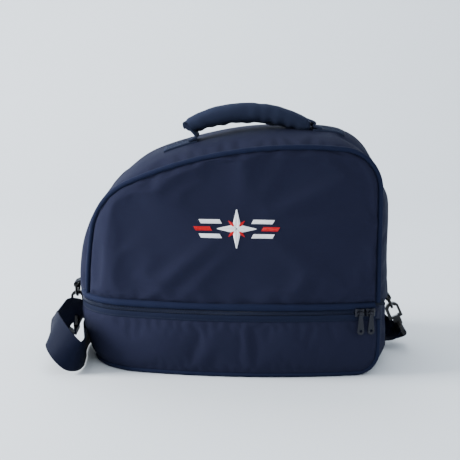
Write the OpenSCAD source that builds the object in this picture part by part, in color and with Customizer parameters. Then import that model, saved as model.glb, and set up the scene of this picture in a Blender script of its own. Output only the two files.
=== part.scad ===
// Two-compartment padded carry bag: an arched upper shell that tips open on a zipped lower tray,
// with a zipped back door, a padded grip and a clip-on shoulder strap.
// The origin is on the floor under the middle of the body. +X is the square end, -X the rounded
// end, -Y the front and +Z up.

/* [Body] */
// Length of the body from the rounded tip to the seam of the square end
body_l = 346; // [300:1:420]
// Depth of the body over the fullest part of the front and back
body_d = 230; // [190:1:280]
// Height of the highest point of the front seam
body_h = 262; // [216:1:320]
// Thickness of the padded panels
panel_t = 6; // [4:0.5:8]
// Radius of the gentle bow of the front and back faces
face_r = 600; // [500:10:800]
// Half of the flat stretch at the rounded tip
tip_flat = 17; // [8:1:24]
// How far the boxing strip crowns out of its seams
crown = 12; // [6:0.5:16]
// How far the square end bows out of its seams
end_bow = 20; // [12:0.5:26]
// How much the boxing flattens where the arch bends tightly
ease = 0.9; // [0:0.05:0.95]
// How far the tray leans in at the foot of the rounded tip
tip_lean = 15; // [4:1:20]

/* [Arch] */
// Radius of the long top of the arch
top_r = 450; // [400:5:600]
// Slope at which the long top meets the shoulder
shoulder_a = 25; // [20:1:30]
// Radius of the shoulder over the rounded tip
shoulder_r = 78; // [60:1:90]
// Radius of the side below the shoulder
side_r = 520; // [400:10:700]
// Radius of the upper corner at the square end
corner_r = 45; // [30:1:55]
// Radius of the lower corner at the square end
foot_r = 22; // [12:1:28]

/* [Zips] */
// Height of the closing line of the lower zip
zip_z = 75.15; // [68:0.05:95]
// Width of one row of coils
coil_w = 2.3; // [1.6:0.1:3]
// Visible width of one tape of the door zip
tape_w = 4.1; // [3:0.1:6]
// Visible width of one tape of the lower zip
lower_tape_w = 7; // [5:0.1:9]
// Thickness of the tape
tape_t = 1.8; // [1:0.1:2.4]
// Length of a slider
slider_l = 11; // [9:0.5:14]
// Length of a pull from its pivot
pull_l = 25; // [18:1:32]

/* [Trim] */
// Diameter of the piping cord
piping_d = 4.5; // [3:0.1:5.5]
// Width of the handle webbing
handle_web = 25; // [20:1:32]
// Distance between the two legs of the handle
handle_span = 140; // [120:1:160]
// Thickness of the padded grip
grip_t = 20; // [16:1:22]
// Width of the padded grip
grip_w = 27; // [25:1:29]
// Width of the shoulder strap
strap_w = 38; // [30:1:44]
// Thickness of the shoulder strap
strap_t = 2; // [1.5:0.1:3]

/* [Rings and hooks] */
// Wire diameter of the rings
ring_wire = 3.5; // [3:0.1:4.5]
// Inside width of the rings
ring_w = 26; // [22:1:32]
// Straight length of each side of a ring, between its bar and its bow
ring_side = 0.25; // [0:0.25:3]
// Thickness of a hook
hook_t = 5; // [4:0.5:6]
// Lean of the square end's ring and hook away from the body
hook_lean = 24; // [0:1:28]

/* [Hidden] */
$fn = 64;

gap = 0.3;
navy = [0.10, 0.13, 0.24];
dark = [0.05, 0.06, 0.10];
black = [0.07, 0.07, 0.08];

// ---- plan of the body: two long bows, a rounded tip and a bowed square end ----
tip_x = -body_l * 0.523;
end_x = body_l + tip_x;
face_x = end_x - 117;
face_y = face_r - body_d / 2;
function tip_radius(tx) = (face_r ^ 2 - (face_x - tx) ^ 2 - (face_y + tip_flat) ^ 2)
    / (2 * (face_r - face_x + tx));
function tip_sin(tx) = (face_x - tx - tip_radius(tx)) / (face_r - tip_radius(tx));
function half_depth(x, d = 0, tx = tip_x) =
    x > face_x - (face_r - d) * tip_sin(tx)
    ? sqrt((face_r - d) ^ 2 - (x - face_x) ^ 2) - face_y
    : tip_flat + sqrt(max(0, (tip_radius(tx) - d) ^ 2 - (x - tx - tip_radius(tx)) ^ 2));
end_half = half_depth(end_x);
end_r = (end_half ^ 2 + end_bow ^ 2) / (2 * end_bow);

// Filled plan, set in by d at the faces and tip, and by e at the square end when e is given.
module plan(d = 0, tx = tip_x, e = undef) {
    r = tip_radius(tx);
    c = tx + r;
    slope = tip_sin(tx);
    far = body_l;
    intersection() {
        union() {
            intersection() {
                translate([face_x, face_y]) circle(face_r - d, $fn = 360);
                translate([face_x, -face_y]) circle(face_r - d, $fn = 360);
                polygon([[c, -tip_flat], [c - far * slope, -tip_flat - far * sqrt(1 - slope ^ 2)],
                    [far, -far], [far, far],
                    [c - far * slope, tip_flat + far * sqrt(1 - slope ^ 2)], [c, tip_flat]]);
            }
            for (s = [-1, 1]) translate([c, s * tip_flat]) circle(r - d, $fn = 120);
            translate([tx + d, -tip_flat]) square([r - d + 1, 2 * tip_flat]);
        }
        if (e == undef) translate([-far, -far]) square([2 * far, 2 * far]);
        else translate([end_x + end_bow - end_r, 0]) circle(end_r - e, $fn = 360);
    }
}

// ---- side view of the arch, from the rounded tip over the top to the square end ----
top_c = [tip_x + crown + side_r - (side_r - shoulder_r) * cos(10)
    + (top_r - shoulder_r) * sin(shoulder_a), body_h - top_r];
shoulder_c = top_c + (top_r - shoulder_r) * [-sin(shoulder_a), cos(shoulder_a)];
side_c = shoulder_c + (side_r - shoulder_r) * [cos(10), -sin(10)];
corner_c = [end_x - corner_r,
    top_c[1] + sqrt((top_r - corner_r) ^ 2 - (end_x - corner_r - top_c[0]) ^ 2)];
corner_a = atan2(corner_c[1] - top_c[1], corner_c[0] - top_c[0]);
panel_z = zip_z + gap / 2 + coil_w + gap + lower_tape_w + gap;
side_a = min(180, 180 - asin((panel_z - side_c[1]) / side_r));
hinge_z = zip_z;

function arc_stations(c, r, a0, a1, n) =
    [for (i = [0 : n - 1]) let (a = a0 + (a1 - a0) * i / n)
        [c[0] + r * cos(a), c[1] + r * sin(a), cos(a), sin(a)]];
// Stations on the arch: x, z and outward normal, set in by d; foot is the height of its square end.
function arch(d = 0, foot = panel_z) = concat(
    panel_z < side_c[1] ? [[side_c[0] - side_r + d, panel_z, -1, 0]] : [],
    arc_stations(side_c, side_r - d, side_a, 170, 5),
    arc_stations(shoulder_c, shoulder_r - d, 170, 90 + shoulder_a, 12),
    arc_stations(top_c, top_r - d, 90 + shoulder_a, corner_a, 14),
    arc_stations(corner_c, corner_r - d, corner_a, 0, 10),
    [for (z = [corner_c[1], corner_c[1] - 20, (corner_c[1] + foot) / 2, foot + 40, foot])
        [end_x - d, z, 1, 0]]);
module arch_face(d = 0) {
    polygon([for (s = arch(d)) [s[0], s[1]]]);
}

// ---- lofted strips: one grid of outer points, one of inner points ----
// The boxing crowns most along the top, and lies nearly flat over the shoulder and the upper corner
shoulder_mid = shoulder_c + shoulder_r * [cos(142), sin(142)];
corner_mid = corner_c + corner_r * [cos(22), sin(22)];
function near(s, mid, reach) = exp(-(norm([s[0], s[1]] - mid) / reach) ^ 3);
function full_bulge(s) = s[2] > 0.95
    ? end_bow * (1 - 0.17 * min(1, max(0, s[1] - gusset_foot) / 45))
    : (crown + (end_bow - crown) * max(0, s[2]) ^ 2) * (1 + 0.1 * s[3] ^ 4);
function bulge(s) = full_bulge(s) * (1 - ease * near(s, shoulder_mid, shoulder_r * 0.59))
    * (1 - ease * near(s, corner_mid, corner_r * 0.58));
function fullness(s) = s[2] < 0 ? 2 - s[2] : 2;
function crown_at(s, y) = let (h = half_depth(s[0], panel_t + gap))
    bulge(s) * (1 - min(1, abs(y) / h) ^ fullness(s));
function lifted(s, y, up) = [s[0] + s[2] * up, y, s[1] + s[3] * up];

function unit(v) = v / norm(v);
module loft(rings) {
    // Every ring has the same even count of points: one side out, the other side back
    n = len(rings[0]);
    m = len(rings);
    polyhedron(points = [for (r = rings) each r],
        faces = concat(
            [for (i = [0 : n / 2 - 2]) [i, i + 1, n - 2 - i, n - 1 - i]],
            [for (k = [0 : m - 2]) for (i = [0 : n - 1]) for (half = [0, 1])
                let (j = (i + 1) % n)
                half == 0 ? [k * n + i, (k + 1) * n + j, k * n + j]
                : [k * n + i, (k + 1) * n + i, (k + 1) * n + j]],
            [for (i = [0 : n / 2 - 2]) let (e = (m - 1) * n)
                [e + n - 1 - i, e + n - 2 - i, e + i + 1, e + i]]));
}
// Strip over the arch stations between depths y0 and y1 (functions of x), crowned like the gusset.
module strip(stations, y0, y1, thick, across, up = 0, crowned = true) {
    loft([for (s = stations)
        let (a = y0(s[0]), b = y1(s[0]))
        concat(
            [for (i = [0 : across]) let (y = a + (b - a) * i / across)
                lifted(s, y, up + (crowned ? crown_at(s, y) : 0))],
            [for (i = [across : -1 : 0]) let (y = a + (b - a) * i / across)
                lifted(s, y, up - thick + (crowned ? crown_at(s, y) : 0))])]);
}
// Round cord through a list of points; the ring at each point faces along the route.
module cord(route, r, sides = 8) {
    n = len(route);
    loft([for (k = [0 : n - 1])
        let (d = route[min(k + 1, n - 1)] - route[max(k - 1, 0)],
             t = d / norm(d),
             u0 = cross(t, abs(t[1]) > 0.9 ? [1, 0, 0] : [0, 1, 0]),
             u = u0 / norm(u0), v = cross(t, u))
        [for (i = [0 : sides - 1]) let (a = 360 * i / sides)
            route[k] + r * (cos(a) * u + sin(a) * v)]]);
}

// ---- lower tray ----
wall_foot = piping_d + 0.45;
wall_top = zip_z - gap / 2 - coil_w - gap - lower_tape_w - gap;
base_t = piping_d + 0.1;
board_t = 3;

module base_panel() {
    color(navy) intersection() {
        linear_extrude(base_t) plan(piping_d + 0.5, tip_x + tip_lean);
        translate([-body_l, -body_d, 0])
            cube([body_l + end_x - foot_r - gap, 2 * body_d, body_h]);
    }
}
module base_board() {
    // Stiff board that keeps the tray's floor flat
    color(black) translate([0, 0, base_t + gap]) intersection() {
        linear_extrude(board_t) plan(panel_t + 4, tip_x + tip_lean);
        translate([-body_l, -body_d, 0]) cube([body_l + end_x - foot_r - 4, 2 * body_d, body_h]);
    }
}
// Rim of the plan from the square end along the front, round the tip and along the back; the
// first stations follow the rounded foot of the square end. Each is x, y and the foot's height.
function rim(d, tx) =
    let (r = tip_radius(tx), c = tx + r, a = asin(tip_sin(tx)),
         x0 = end_x - foot_r, b = asin((x0 - face_x) / (face_r - d)),
         front = concat(
            [for (i = [0 : 5]) let (x = x0 + foot_r * cos(15 * i))
                [x, -half_depth(x, d, tx), wall_foot + foot_r * (1 - sin(15 * i))]],
            [for (i = [0 : 12]) let (w = b - (a + b) * i / 12)
                [face_x + (face_r - d) * sin(w), face_y - (face_r - d) * cos(w), wall_foot]],
            [for (i = [1 : 8]) let (w = -a + (a - 90) * i / 8)
                [c + (r - d) * sin(w), -tip_flat - (r - d) * cos(w), wall_foot]]))
    concat(front, [for (i = [len(front) - 1 : -1 : 0]) [front[i][0], -front[i][1], front[i][2]]]);
module lower_wall() {
    // One padded panel: front, round the leaning tip and along the back
    out_foot = rim(0, tip_x + tip_lean);
    in_foot = rim(panel_t, tip_x + tip_lean);
    out_top = rim(0, tip_x);
    in_top = rim(panel_t, tip_x);
    color(navy) loft([for (i = [0 : len(out_foot) - 1]) [
        out_foot[i], [out_top[i][0], out_top[i][1], wall_top],
        [in_top[i][0], in_top[i][1], wall_top], in_foot[i]]]);
}
end_top = hinge_z - 0.4;
function end_stations() = concat(
    [for (z = [end_top, (end_top + foot_r) / 2]) [end_x, z, 1, 0]],
    [for (i = [0 : 8]) let (a = -90 * i / 8)
        [end_x - foot_r + foot_r * cos(a), foot_r + foot_r * sin(a), cos(a), sin(a)]]);
module lower_end_wall() {
    // Boxing of the square end: bowed above, flat where it turns under
    color(navy) loft([for (s = end_stations())
        let (h = half_depth(s[0], panel_t + gap), w = end_bow * s[2] ^ 3)
        concat(
            [for (i = [0 : 10]) let (t = i / 5 - 1) lifted(s, h * t, w * (1 - t * t))],
            [for (i = [10 : -1 : 0]) let (t = i / 5 - 1)
                lifted(s, h * t, w * (1 - t * t) - panel_t)])]);
}
piping_out = piping_d / 2 + gap;
module lower_piping() {
    // Welt from the zip down the square end's front corner, round the foot and up at the back
    r = piping_d / 2;
    inset = r + 0.15;
    z = wall_foot - piping_out;
    foot = [for (p = rim(inset, tip_x + tip_lean)) if (p[2] == wall_foot) [p[0], p[1], z]];
    down = concat([[end_x + piping_out, wall_top], [end_x + piping_out, wall_foot + foot_r]],
        [for (i = [1 : 5]) let (a = -15 * i) [end_x - foot_r + (foot_r + piping_out) * cos(a),
            wall_foot + foot_r + (foot_r + piping_out) * sin(a)]]);
    front = [for (p = down) [p[0], -half_depth(min(p[0], end_x), inset), p[1]]];
    back = [for (i = [len(front) - 1 : -1 : 0]) [front[i][0], -front[i][1], front[i][2]]];
    color(dark) cord(concat(front, foot, back), r);
}

// ---- lower zip: a band round the front, the tip and the back ----
zip_end = end_x - 2;
module zip_band(z, h, outer, inner) {
    translate([0, 0, z]) linear_extrude(h) difference() {
        plan(outer);
        plan(inner);
        translate([zip_end, -body_d]) square([body_l, 2 * body_d]);
    }
}
coil_in = 4;
tape_out = 1.2;
module lower_tape_bottom() {
    color(dark) zip_band(wall_top + gap, lower_tape_w, tape_out, tape_out + tape_t);
}
module lower_coil_bottom() {
    color(black) zip_band(zip_z - gap / 2 - coil_w, coil_w, 0, coil_in);
}
module lower_coil_top() {
    color(black) zip_band(zip_z + gap / 2, coil_w, 0, coil_in);
}
module lower_tape_top() {
    color(navy) zip_band(zip_z + gap / 2 + coil_w + gap, lower_tape_w, tape_out, tape_out + tape_t);
}
module lower_zip_stops() {
    // Bar tacks that close both ends of the chain, on the square end's corners
    stop_h = 2 * coil_w + 2;
    color(dark) for (s = [-1, 1])
        translate([zip_end + 0.1, s * (end_half - 3) - 2, zip_z - stop_h])
            cube([1.6, 4, stop_h - gap]);
}

// ---- upper shell ----
module front_shell() {
    intersection() {
        translate([0, 0, panel_z]) linear_extrude(body_h) difference() {
            plan(0);
            plan(panel_t);
        }
        rotate([90, 0, 0]) linear_extrude(body_d) arch_face();
    }
}
module front_panel() {
    color(navy) front_shell();
}
door_zip_w = 2 * tape_w + 2 * coil_w + 4 * gap;
gusset_foot = hinge_z + 0.4;
module gusset() {
    // Padded boxing from the rounded tip over the top and down the square end
    color(navy) strip(arch(0, gusset_foot),
        function (x) -half_depth(x, panel_t + gap),
        function (x) half_depth(x, panel_t + gap) - door_zip_w, panel_t, 12);
}
module divider() {
    // Padded floor of the upper compartment and lid of the tray
    color(navy) translate([0, 0, panel_z - gap - tape_w]) linear_extrude(tape_w)
        plan(tape_out + tape_t + gap, tip_x, panel_t + 3.5);
}
function seam_route(side, d) = [for (s = arch(-piping_out))
    [s[0], side * half_depth(min(s[0] - s[2] * piping_out, end_x), d), s[1]]];
module front_piping() {
    color(dark) cord(seam_route(-1, panel_t / 2), piping_d / 2);
}

// ---- door at the back, with its zip in the boxing ----
module door_panel() {
    color(navy) mirror([0, 1, 0]) front_shell();
}
module door_piping() {
    color(dark) cord(seam_route(1, panel_t / 2), piping_d / 2);
}
// Band of the door zip: from and to are distances forward of the door panel's inner face
module door_band(from, to, up, thick) {
    strip(arch(), function (x) half_depth(x, panel_t + gap) - from,
        function (x) half_depth(x, panel_t + gap) - to, thick, 1, up, false);
}
module door_tape() {
    color(navy) door_band(tape_w, 0, -0.4, tape_t);
}
module door_coil() {
    color(black) door_band(tape_w + gap + coil_w, tape_w + gap, 0.8, 3);
}
module door_coil_fixed() {
    color(black) door_band(tape_w + 2 * gap + 2 * coil_w, tape_w + 2 * gap + coil_w, 0.8, 3);
}
module door_tape_fixed() {
    color(navy) door_band(door_zip_w - gap, door_zip_w - gap - tape_w, -0.4, tape_t);
}
module door_zip_stops() {
    // Crimps over both ends of the fixed row of coils
    for (s = [arch()[0], arch()[len(arch()) - 1]]) {
        y = half_depth(s[0], panel_t + gap) - tape_w - 2 * gap - 2 * coil_w;
        color(dark) translate([s[0] + s[2] * 1.8 - 0.7, y, panel_z + 0.5])
            cube([1.4, coil_w, 3]);
    }
}

// ---- sliders and pulls ----
// Local frame: travel along X, outward is -Y, and Y = 0 is the outer face of the coils.
slider_t = 2.6;
bridge_y = -(gap + slider_t + 2.7);
bar_r = 0.9;
module slider(turn) {
    h = 2 * coil_w + gap;
    lip = 1.7;
    difference() {
        union() {
            // Waisted top plate
            translate([0, -gap, 0]) rotate([90, 0, 0]) linear_extrude(slider_t) difference() {
                square([slider_l, h + 2 * gap + 2 * lip], center = true);
                for (s = [-1, 1]) translate([0, s * (h / 2 + gap + lip + 5.4)]) circle(6);
            }
            // Flange beside the coils that stay; the other side is open, so they can part
            translate([0, -gap + 0.6, -h / 2 - gap - lip / 2])
                cube([slider_l - 3, 1.4, lip - 0.6], center = true);
        }
        for (s = [-1, 1]) translate([s * slider_l / 2, -slider_t - gap, 0])
            rotate([0, 0, 45]) cube([1.4, 1.4, 30], center = true);
    }
    // Bridge: two posts and the bar that the pull hangs from
    rotate([0, turn, 0]) {
        for (s = [-1, 1]) translate([s * 2.7, (bridge_y - gap - slider_t) / 2, 0])
            cube([1.4, abs(bridge_y) - gap - slider_t + 2 * bar_r, 2 * bar_r], center = true);
        translate([0, bridge_y, 0]) rotate([0, 90, 0]) cylinder(h = 6.8, r = bar_r, center = true);
    }
}
module pull() {
    // Eye round the bar, neck and a tapered tag with a hole; hangs along -Z
    translate([0, bridge_y, 0]) difference() {
        union() {
            rotate([0, 90, 0]) cylinder(h = 3.2, r = bar_r + 1.3, center = true);
            translate([0, 0.8, 0]) rotate([90, 0, 0]) linear_extrude(1.6) difference() {
                union() {
                    polygon([[-1.6, -1], [1.6, -1], [2.4, -6], [4, -pull_l + 4],
                        [-4, -pull_l + 4], [-2.4, -6]]);
                    translate([0, -pull_l + 4]) circle(4);
                }
                translate([0, -pull_l + 4.5]) circle(1.7);
            }
        }
        rotate([0, 90, 0]) cylinder(h = 9, r = bar_r + 0.3, center = true);
    }
}
module on_front(x) {
    // Seat on the lower zip at this x, turned to face straight out
    a = asin((x - face_x) / face_r);
    translate([face_x, face_y, zip_z]) rotate([0, 0, a]) translate([0, -face_r, 0]) children();
}
corner_slider_x = zip_end - slider_l / 2 - 0.5;
front_slider_x = corner_slider_x - slider_l - 1;
module front_slider() { color(black) on_front(front_slider_x) slider(0); }
module front_pull() { color(black) on_front(front_slider_x) pull(); }
module corner_slider() { color(black) on_front(corner_slider_x) slider(0); }
module corner_pull() { color(black) on_front(corner_slider_x) pull(); }

door_chain_y = half_depth(end_x, panel_t + gap) - tape_w - 1.5 * gap - coil_w;
door_slider_z = panel_z + slider_l / 2 + 5;
module on_door() {
    translate([end_x + 0.8, door_chain_y, door_slider_z]) rotate([0, 0, 90]) children();
}
module door_slider() { color(black) on_door() rotate([0, 90, 0]) slider(90); }
module door_pull() { color(black) on_door() pull(); }

// ---- handle on the crown ----
handle_y = -40;
handle_x = 18;
leg_w = 8;
web_t = 2;
axis_up = leg_w / 2 + web_t + 2 * gap + 0.2;
function top_station(x) = let (a = acos((x - top_c[0]) / top_r))
    [x, top_c[1] + top_r * sin(a), cos(a), sin(a)];
foot_left = handle_x - handle_span / 2 + 9;
foot_right = handle_x + handle_span / 2 + 7;
function crest(x) = let (s = top_station(x)) s[1] + crown_at(s, handle_y);
leg_left = [foot_left, crest(foot_left) + axis_up];
leg_right = [foot_right, crest(foot_right) + axis_up];
module tail(x0, x1) {
    // Webbing sewn flat on the boxing, following its crown
    strip([for (i = [0 : 5]) top_station(x0 + (x1 - x0) * i / 5)],
        function (x) handle_y - handle_web / 2, function (x) handle_y + handle_web / 2,
        web_t, 4, web_t + gap);
}
module handle_tail_left() { color(dark) tail(foot_left - 36, foot_left + 3); }
module handle_tail_right() { color(dark) tail(foot_right - 3, foot_right + 34); }
web_rise = 17;
web_half = handle_span / 2 + 3;
grip_half = 58;
grip_r = (web_half ^ 2 + web_rise ^ 2) / (2 * web_rise);
grip_z = leg_right[1] + 2 + web_rise - grip_r;
web_a = asin(web_half / grip_r);
grip_a = asin(grip_half / grip_r);
module grip_bend(a) {
    // Turns a cross-section drawn at the grip's radius through a on each side of the middle
    translate([handle_x, handle_y, grip_z]) rotate([90, 0, 0]) rotate([0, 0, 90 - a])
        rotate_extrude(angle = 2 * a, $fn = 180) children();
}
module handle_grip() {
    // Padded sleeve round the webbing
    color(dark) difference() {
        grip_bend(grip_a) {
            for (s = [-1, 1]) translate([grip_r, s * (grip_w - grip_t) / 2])
                circle(grip_t / 2, $fn = 24);
            translate([grip_r - grip_t / 2, -(grip_w - grip_t) / 2])
                square([grip_t, grip_w - grip_t]);
        }
        grip_bend(grip_a + 1) translate([grip_r - 3.3, -handle_web / 2 + 2 - gap])
            square([6.6, handle_web - 4 + 2 * gap]);
    }
}
module handle_core() {
    // Foam strip that fills the sleeve over the webbing
    color(black) grip_bend(grip_a - 0.5) translate([grip_r - 0.6, -handle_web / 2 + 2])
        square([3.5, handle_web - 4]);
}
module leg(p, side) {
    // Webbing that leaves the sleeve and turns down to a round foot on the crown
    e = [handle_x + side * grip_r * sin(web_a - 0.6), grip_z + (grip_r - 2) * cos(web_a - 0.6)];
    u = unit(p - e);
    v = [u[1], -u[0]] * web_t / 2;
    low = p + u * leg_w;
    intersection() {
        translate([0, handle_y + leg_w, 0]) rotate([90, 0, 0]) linear_extrude(2 * leg_w)
            polygon([e + v, e - v, low - v, low + v]);
        translate([p[0] - 30, handle_y, p[1]]) rotate([90, 0, 90]) linear_extrude(60) {
            circle(leg_w / 2);
            translate([-leg_w / 2, 0]) square([leg_w, e[1] - p[1] + 3]);
        }
    }
}
module handle_webbing() {
    // The webbing narrows past the sleeve, where it is folded for the foot
    half = handle_web / 2 - 2;
    near = grip_half + 1.5;
    color(dark) {
        leg(leg_left, -1);
        leg(leg_right, 1);
        intersection() {
            grip_bend(web_a) translate([grip_r - 3, -half]) square([web_t, 2 * half]);
            translate([handle_x, handle_y, grip_z]) linear_extrude(2 * grip_r) polygon([
                [-near, -half], [-near - 9, -leg_w / 2], [-near - 30, -leg_w / 2],
                [-near - 30, leg_w / 2], [-near - 9, leg_w / 2], [-near, half],
                [near, half], [near + 9, leg_w / 2], [near + 30, leg_w / 2],
                [near + 30, -leg_w / 2], [near + 9, -leg_w / 2], [near, -half]]);
        }
    }
}

// ---- rings, hooks and strap ends; local frame: the bar runs along Y at the origin ----
wire_r = ring_wire / 2;
ring_h = ring_w / 2 + wire_r + ring_side;
bar_clear = 0.3;
tab_w = ring_w - 2;
hook_in = 5;
hook_wire = 4;
hook_drop = 15;
stem_r = 2.4;
eye_z = -hook_drop - 8;
eye_h = 10;
eye_wire = 3;
eye_in = strap_w / 2 + 1.5;
slot_z = eye_z - eye_h + eye_wire / 2;
ply_x = eye_wire * 0.75 + gap;
module ring() {
    half = ring_w / 2 + wire_r;
    rotate([90, 0, 0]) cylinder(h = 2 * half + ring_wire * 0.6, r = wire_r, center = true);
    if (ring_side > 0) for (s = [-1, 1]) translate([0, s * half, -ring_side])
        cylinder(h = ring_side, r = wire_r);
    translate([0, 0, -ring_side]) rotate([0, 90, 0]) rotate([0, 0, -90])
        rotate_extrude(angle = 180) translate([half, 0]) circle(wire_r, $fn = 24);
}
module hook() {
    // Bow, nose, heel block and swivel stem; the ring's wire passes at the origin
    up = wire_r + bar_clear + hook_wire;
    rotate([90, 0, 0]) linear_extrude(hook_t, center = true) difference() {
        union() {
            translate([0, up - hook_in - hook_wire]) circle(hook_in + hook_wire);
            translate([-hook_in - hook_wire, -hook_drop]) square([2 * (hook_in + hook_wire),
                hook_drop + up - hook_in - hook_wire]);
            translate([-5, -hook_drop - 5]) square([10, 6]);
        }
        translate([0, up - hook_in - hook_wire]) circle(hook_in);
        translate([-hook_in, -hook_drop + 3]) square([2 * hook_in,
            hook_drop - 3 + up - hook_in - hook_wire]);
        // Mouth that the gate closes, with room for its tip to swing in
        translate([-hook_in, -4]) square([hook_in, 4]);
        translate([-hook_in - hook_wire - 1, -hook_drop]) square([hook_wire + 1.01, hook_drop]);
    }
    translate([0, 0, -hook_drop - 10]) cylinder(h = 6, r = stem_r);
    translate([0, 0, -hook_drop - 11]) cylinder(h = 1.5, r = stem_r + 1.4);
    // Pin of the gate
    translate([gate_x, 0, gate_z]) rotate([90, 0, 0]) cylinder(h = hook_t, r = 0.8, center = true);
    for (s = [-1, 1]) translate([gate_x, s * (hook_t / 2 - 0.5), gate_z]) rotate([90, 0, 0])
        linear_extrude(1, center = true) union() {
            circle(1.9);
            translate([0, -1.9]) square([hook_wire, 3.8]);
        }
}
gate_x = -hook_in - hook_wire / 2;
gate_z = -hook_drop + 1.9;
module gate() {
    // Sprung lever, pivoted at the heel, that closes the mouth against the nose
    difference() {
        rotate([90, 0, 0]) linear_extrude(hook_t - 2 - 2 * gap, center = true) union() {
            translate([gate_x, gate_z]) circle(1.7);
            translate([gate_x - 1.7, gate_z]) square([3.1, -gate_z - gap]);
        }
        translate([gate_x, 0, gate_z]) rotate([90, 0, 0])
            cylinder(h = hook_t, r = 0.9, center = true);
    }
}
module eye() {
    // Swivel boss and the flat loop for the strap
    difference() {
        translate([0, 0, -hook_drop - 9.2]) cylinder(h = 3.9, r = stem_r + 2.6);
        translate([0, 0, -hook_drop - 12]) cylinder(h = 9, r = stem_r + 0.08);
    }
    difference() {
        translate([-eye_wire / 2, -eye_in - eye_wire, slot_z - eye_wire / 2])
            cube([eye_wire, 2 * (eye_in + eye_wire), -hook_drop - 6.3 - slot_z + eye_wire / 2]);
        translate([-eye_wire, -eye_in, slot_z + eye_wire / 2])
            cube([2 * eye_wire, 2 * eye_in, -hook_drop - 9.3 - slot_z - eye_wire / 2]);
        translate([0, 0, -hook_drop - 12]) cylinder(h = 9, r = stem_r + 2.6 - gap);
        translate([0, 0, -hook_drop - 12]) cylinder(h = 3.1, r = stem_r + 2);
    }
}
module strap_fold(turn = 0) {
    // End of the strap, turned round the eye's bar and sewn to itself
    r = ply_x;
    translate([0, strap_w / 2, slot_z]) rotate([90, turn, 0]) linear_extrude(strap_w) difference() {
        union() {
            circle(r + strap_t);
            translate([-r - strap_t, -tail_l]) square([2 * strap_t, tail_l]);
        }
        circle(r);
    }
}
module tab_loop(up_x, up_z) {
    // Webbing loop round the bar with its two plies rising to the seam at (up_x, up_z)
    r = wire_r + bar_clear;
    translate([0, tab_w / 2, 0]) rotate([90, 0, 0]) linear_extrude(tab_w) difference() {
        union() {
            circle(r + 1.6);
            polygon([[-r - 1.6, 0], [r + 1.6, 0], [up_x + 1.6, up_z], [up_x - 1.6, up_z]]);
        }
        circle(r);
    }
}

// Rounded tip: the tab is sewn over the tip of the boxing, above the zip
side_y = 24;
left_x = tip_x - 11.5;
left_z = panel_z - 5;
module at_left() { translate([left_x, side_y, left_z]) children(); }
module tab_left() {
    color(dark) at_left() tab_loop(tip_x - left_x - 2.4, panel_z + 3 - left_z);
}
module ring_left() { color(black) at_left() ring(); }
module at_left_hook() { at_left() translate([0, 0, -ring_h]) children(); }
module hook_left() { color(black) at_left_hook() hook(); }
module gate_left() { color(black) at_left_hook() gate(); }
module eye_left() { color(black) at_left_hook() eye(); }
module strap_end_left() { color(navy) at_left_hook() strap_fold(); }

// Square end: the tab is sewn to the tray's end wall, and ring and hook lean out
right_x = end_x + end_bow + 9;
right_z = hinge_z - 12;
module at_right() {
    translate([right_x, side_y, right_z]) rotate([0, -hook_lean, 0]) mirror([1, 0, 0]) children();
}
module tab_right() {
    color(dark) translate([right_x, side_y, right_z])
        tab_loop(end_x + end_bow * (1 - (side_y / end_half) ^ 2) + 2.2 - right_x, end_top - 1.5 - right_z);
}
module ring_right() { color(black) at_right() ring(); }
module at_right_hook() { at_right() translate([0, 0, -ring_h]) children(); }
module hook_right() { color(black) at_right_hook() hook(); }
module gate_right() { color(black) at_right_hook() gate(); }
module eye_right() { color(black) at_right_hook() eye(); }
module strap_end_right() { color(navy) at_right_hook() strap_fold(-90); }

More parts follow.
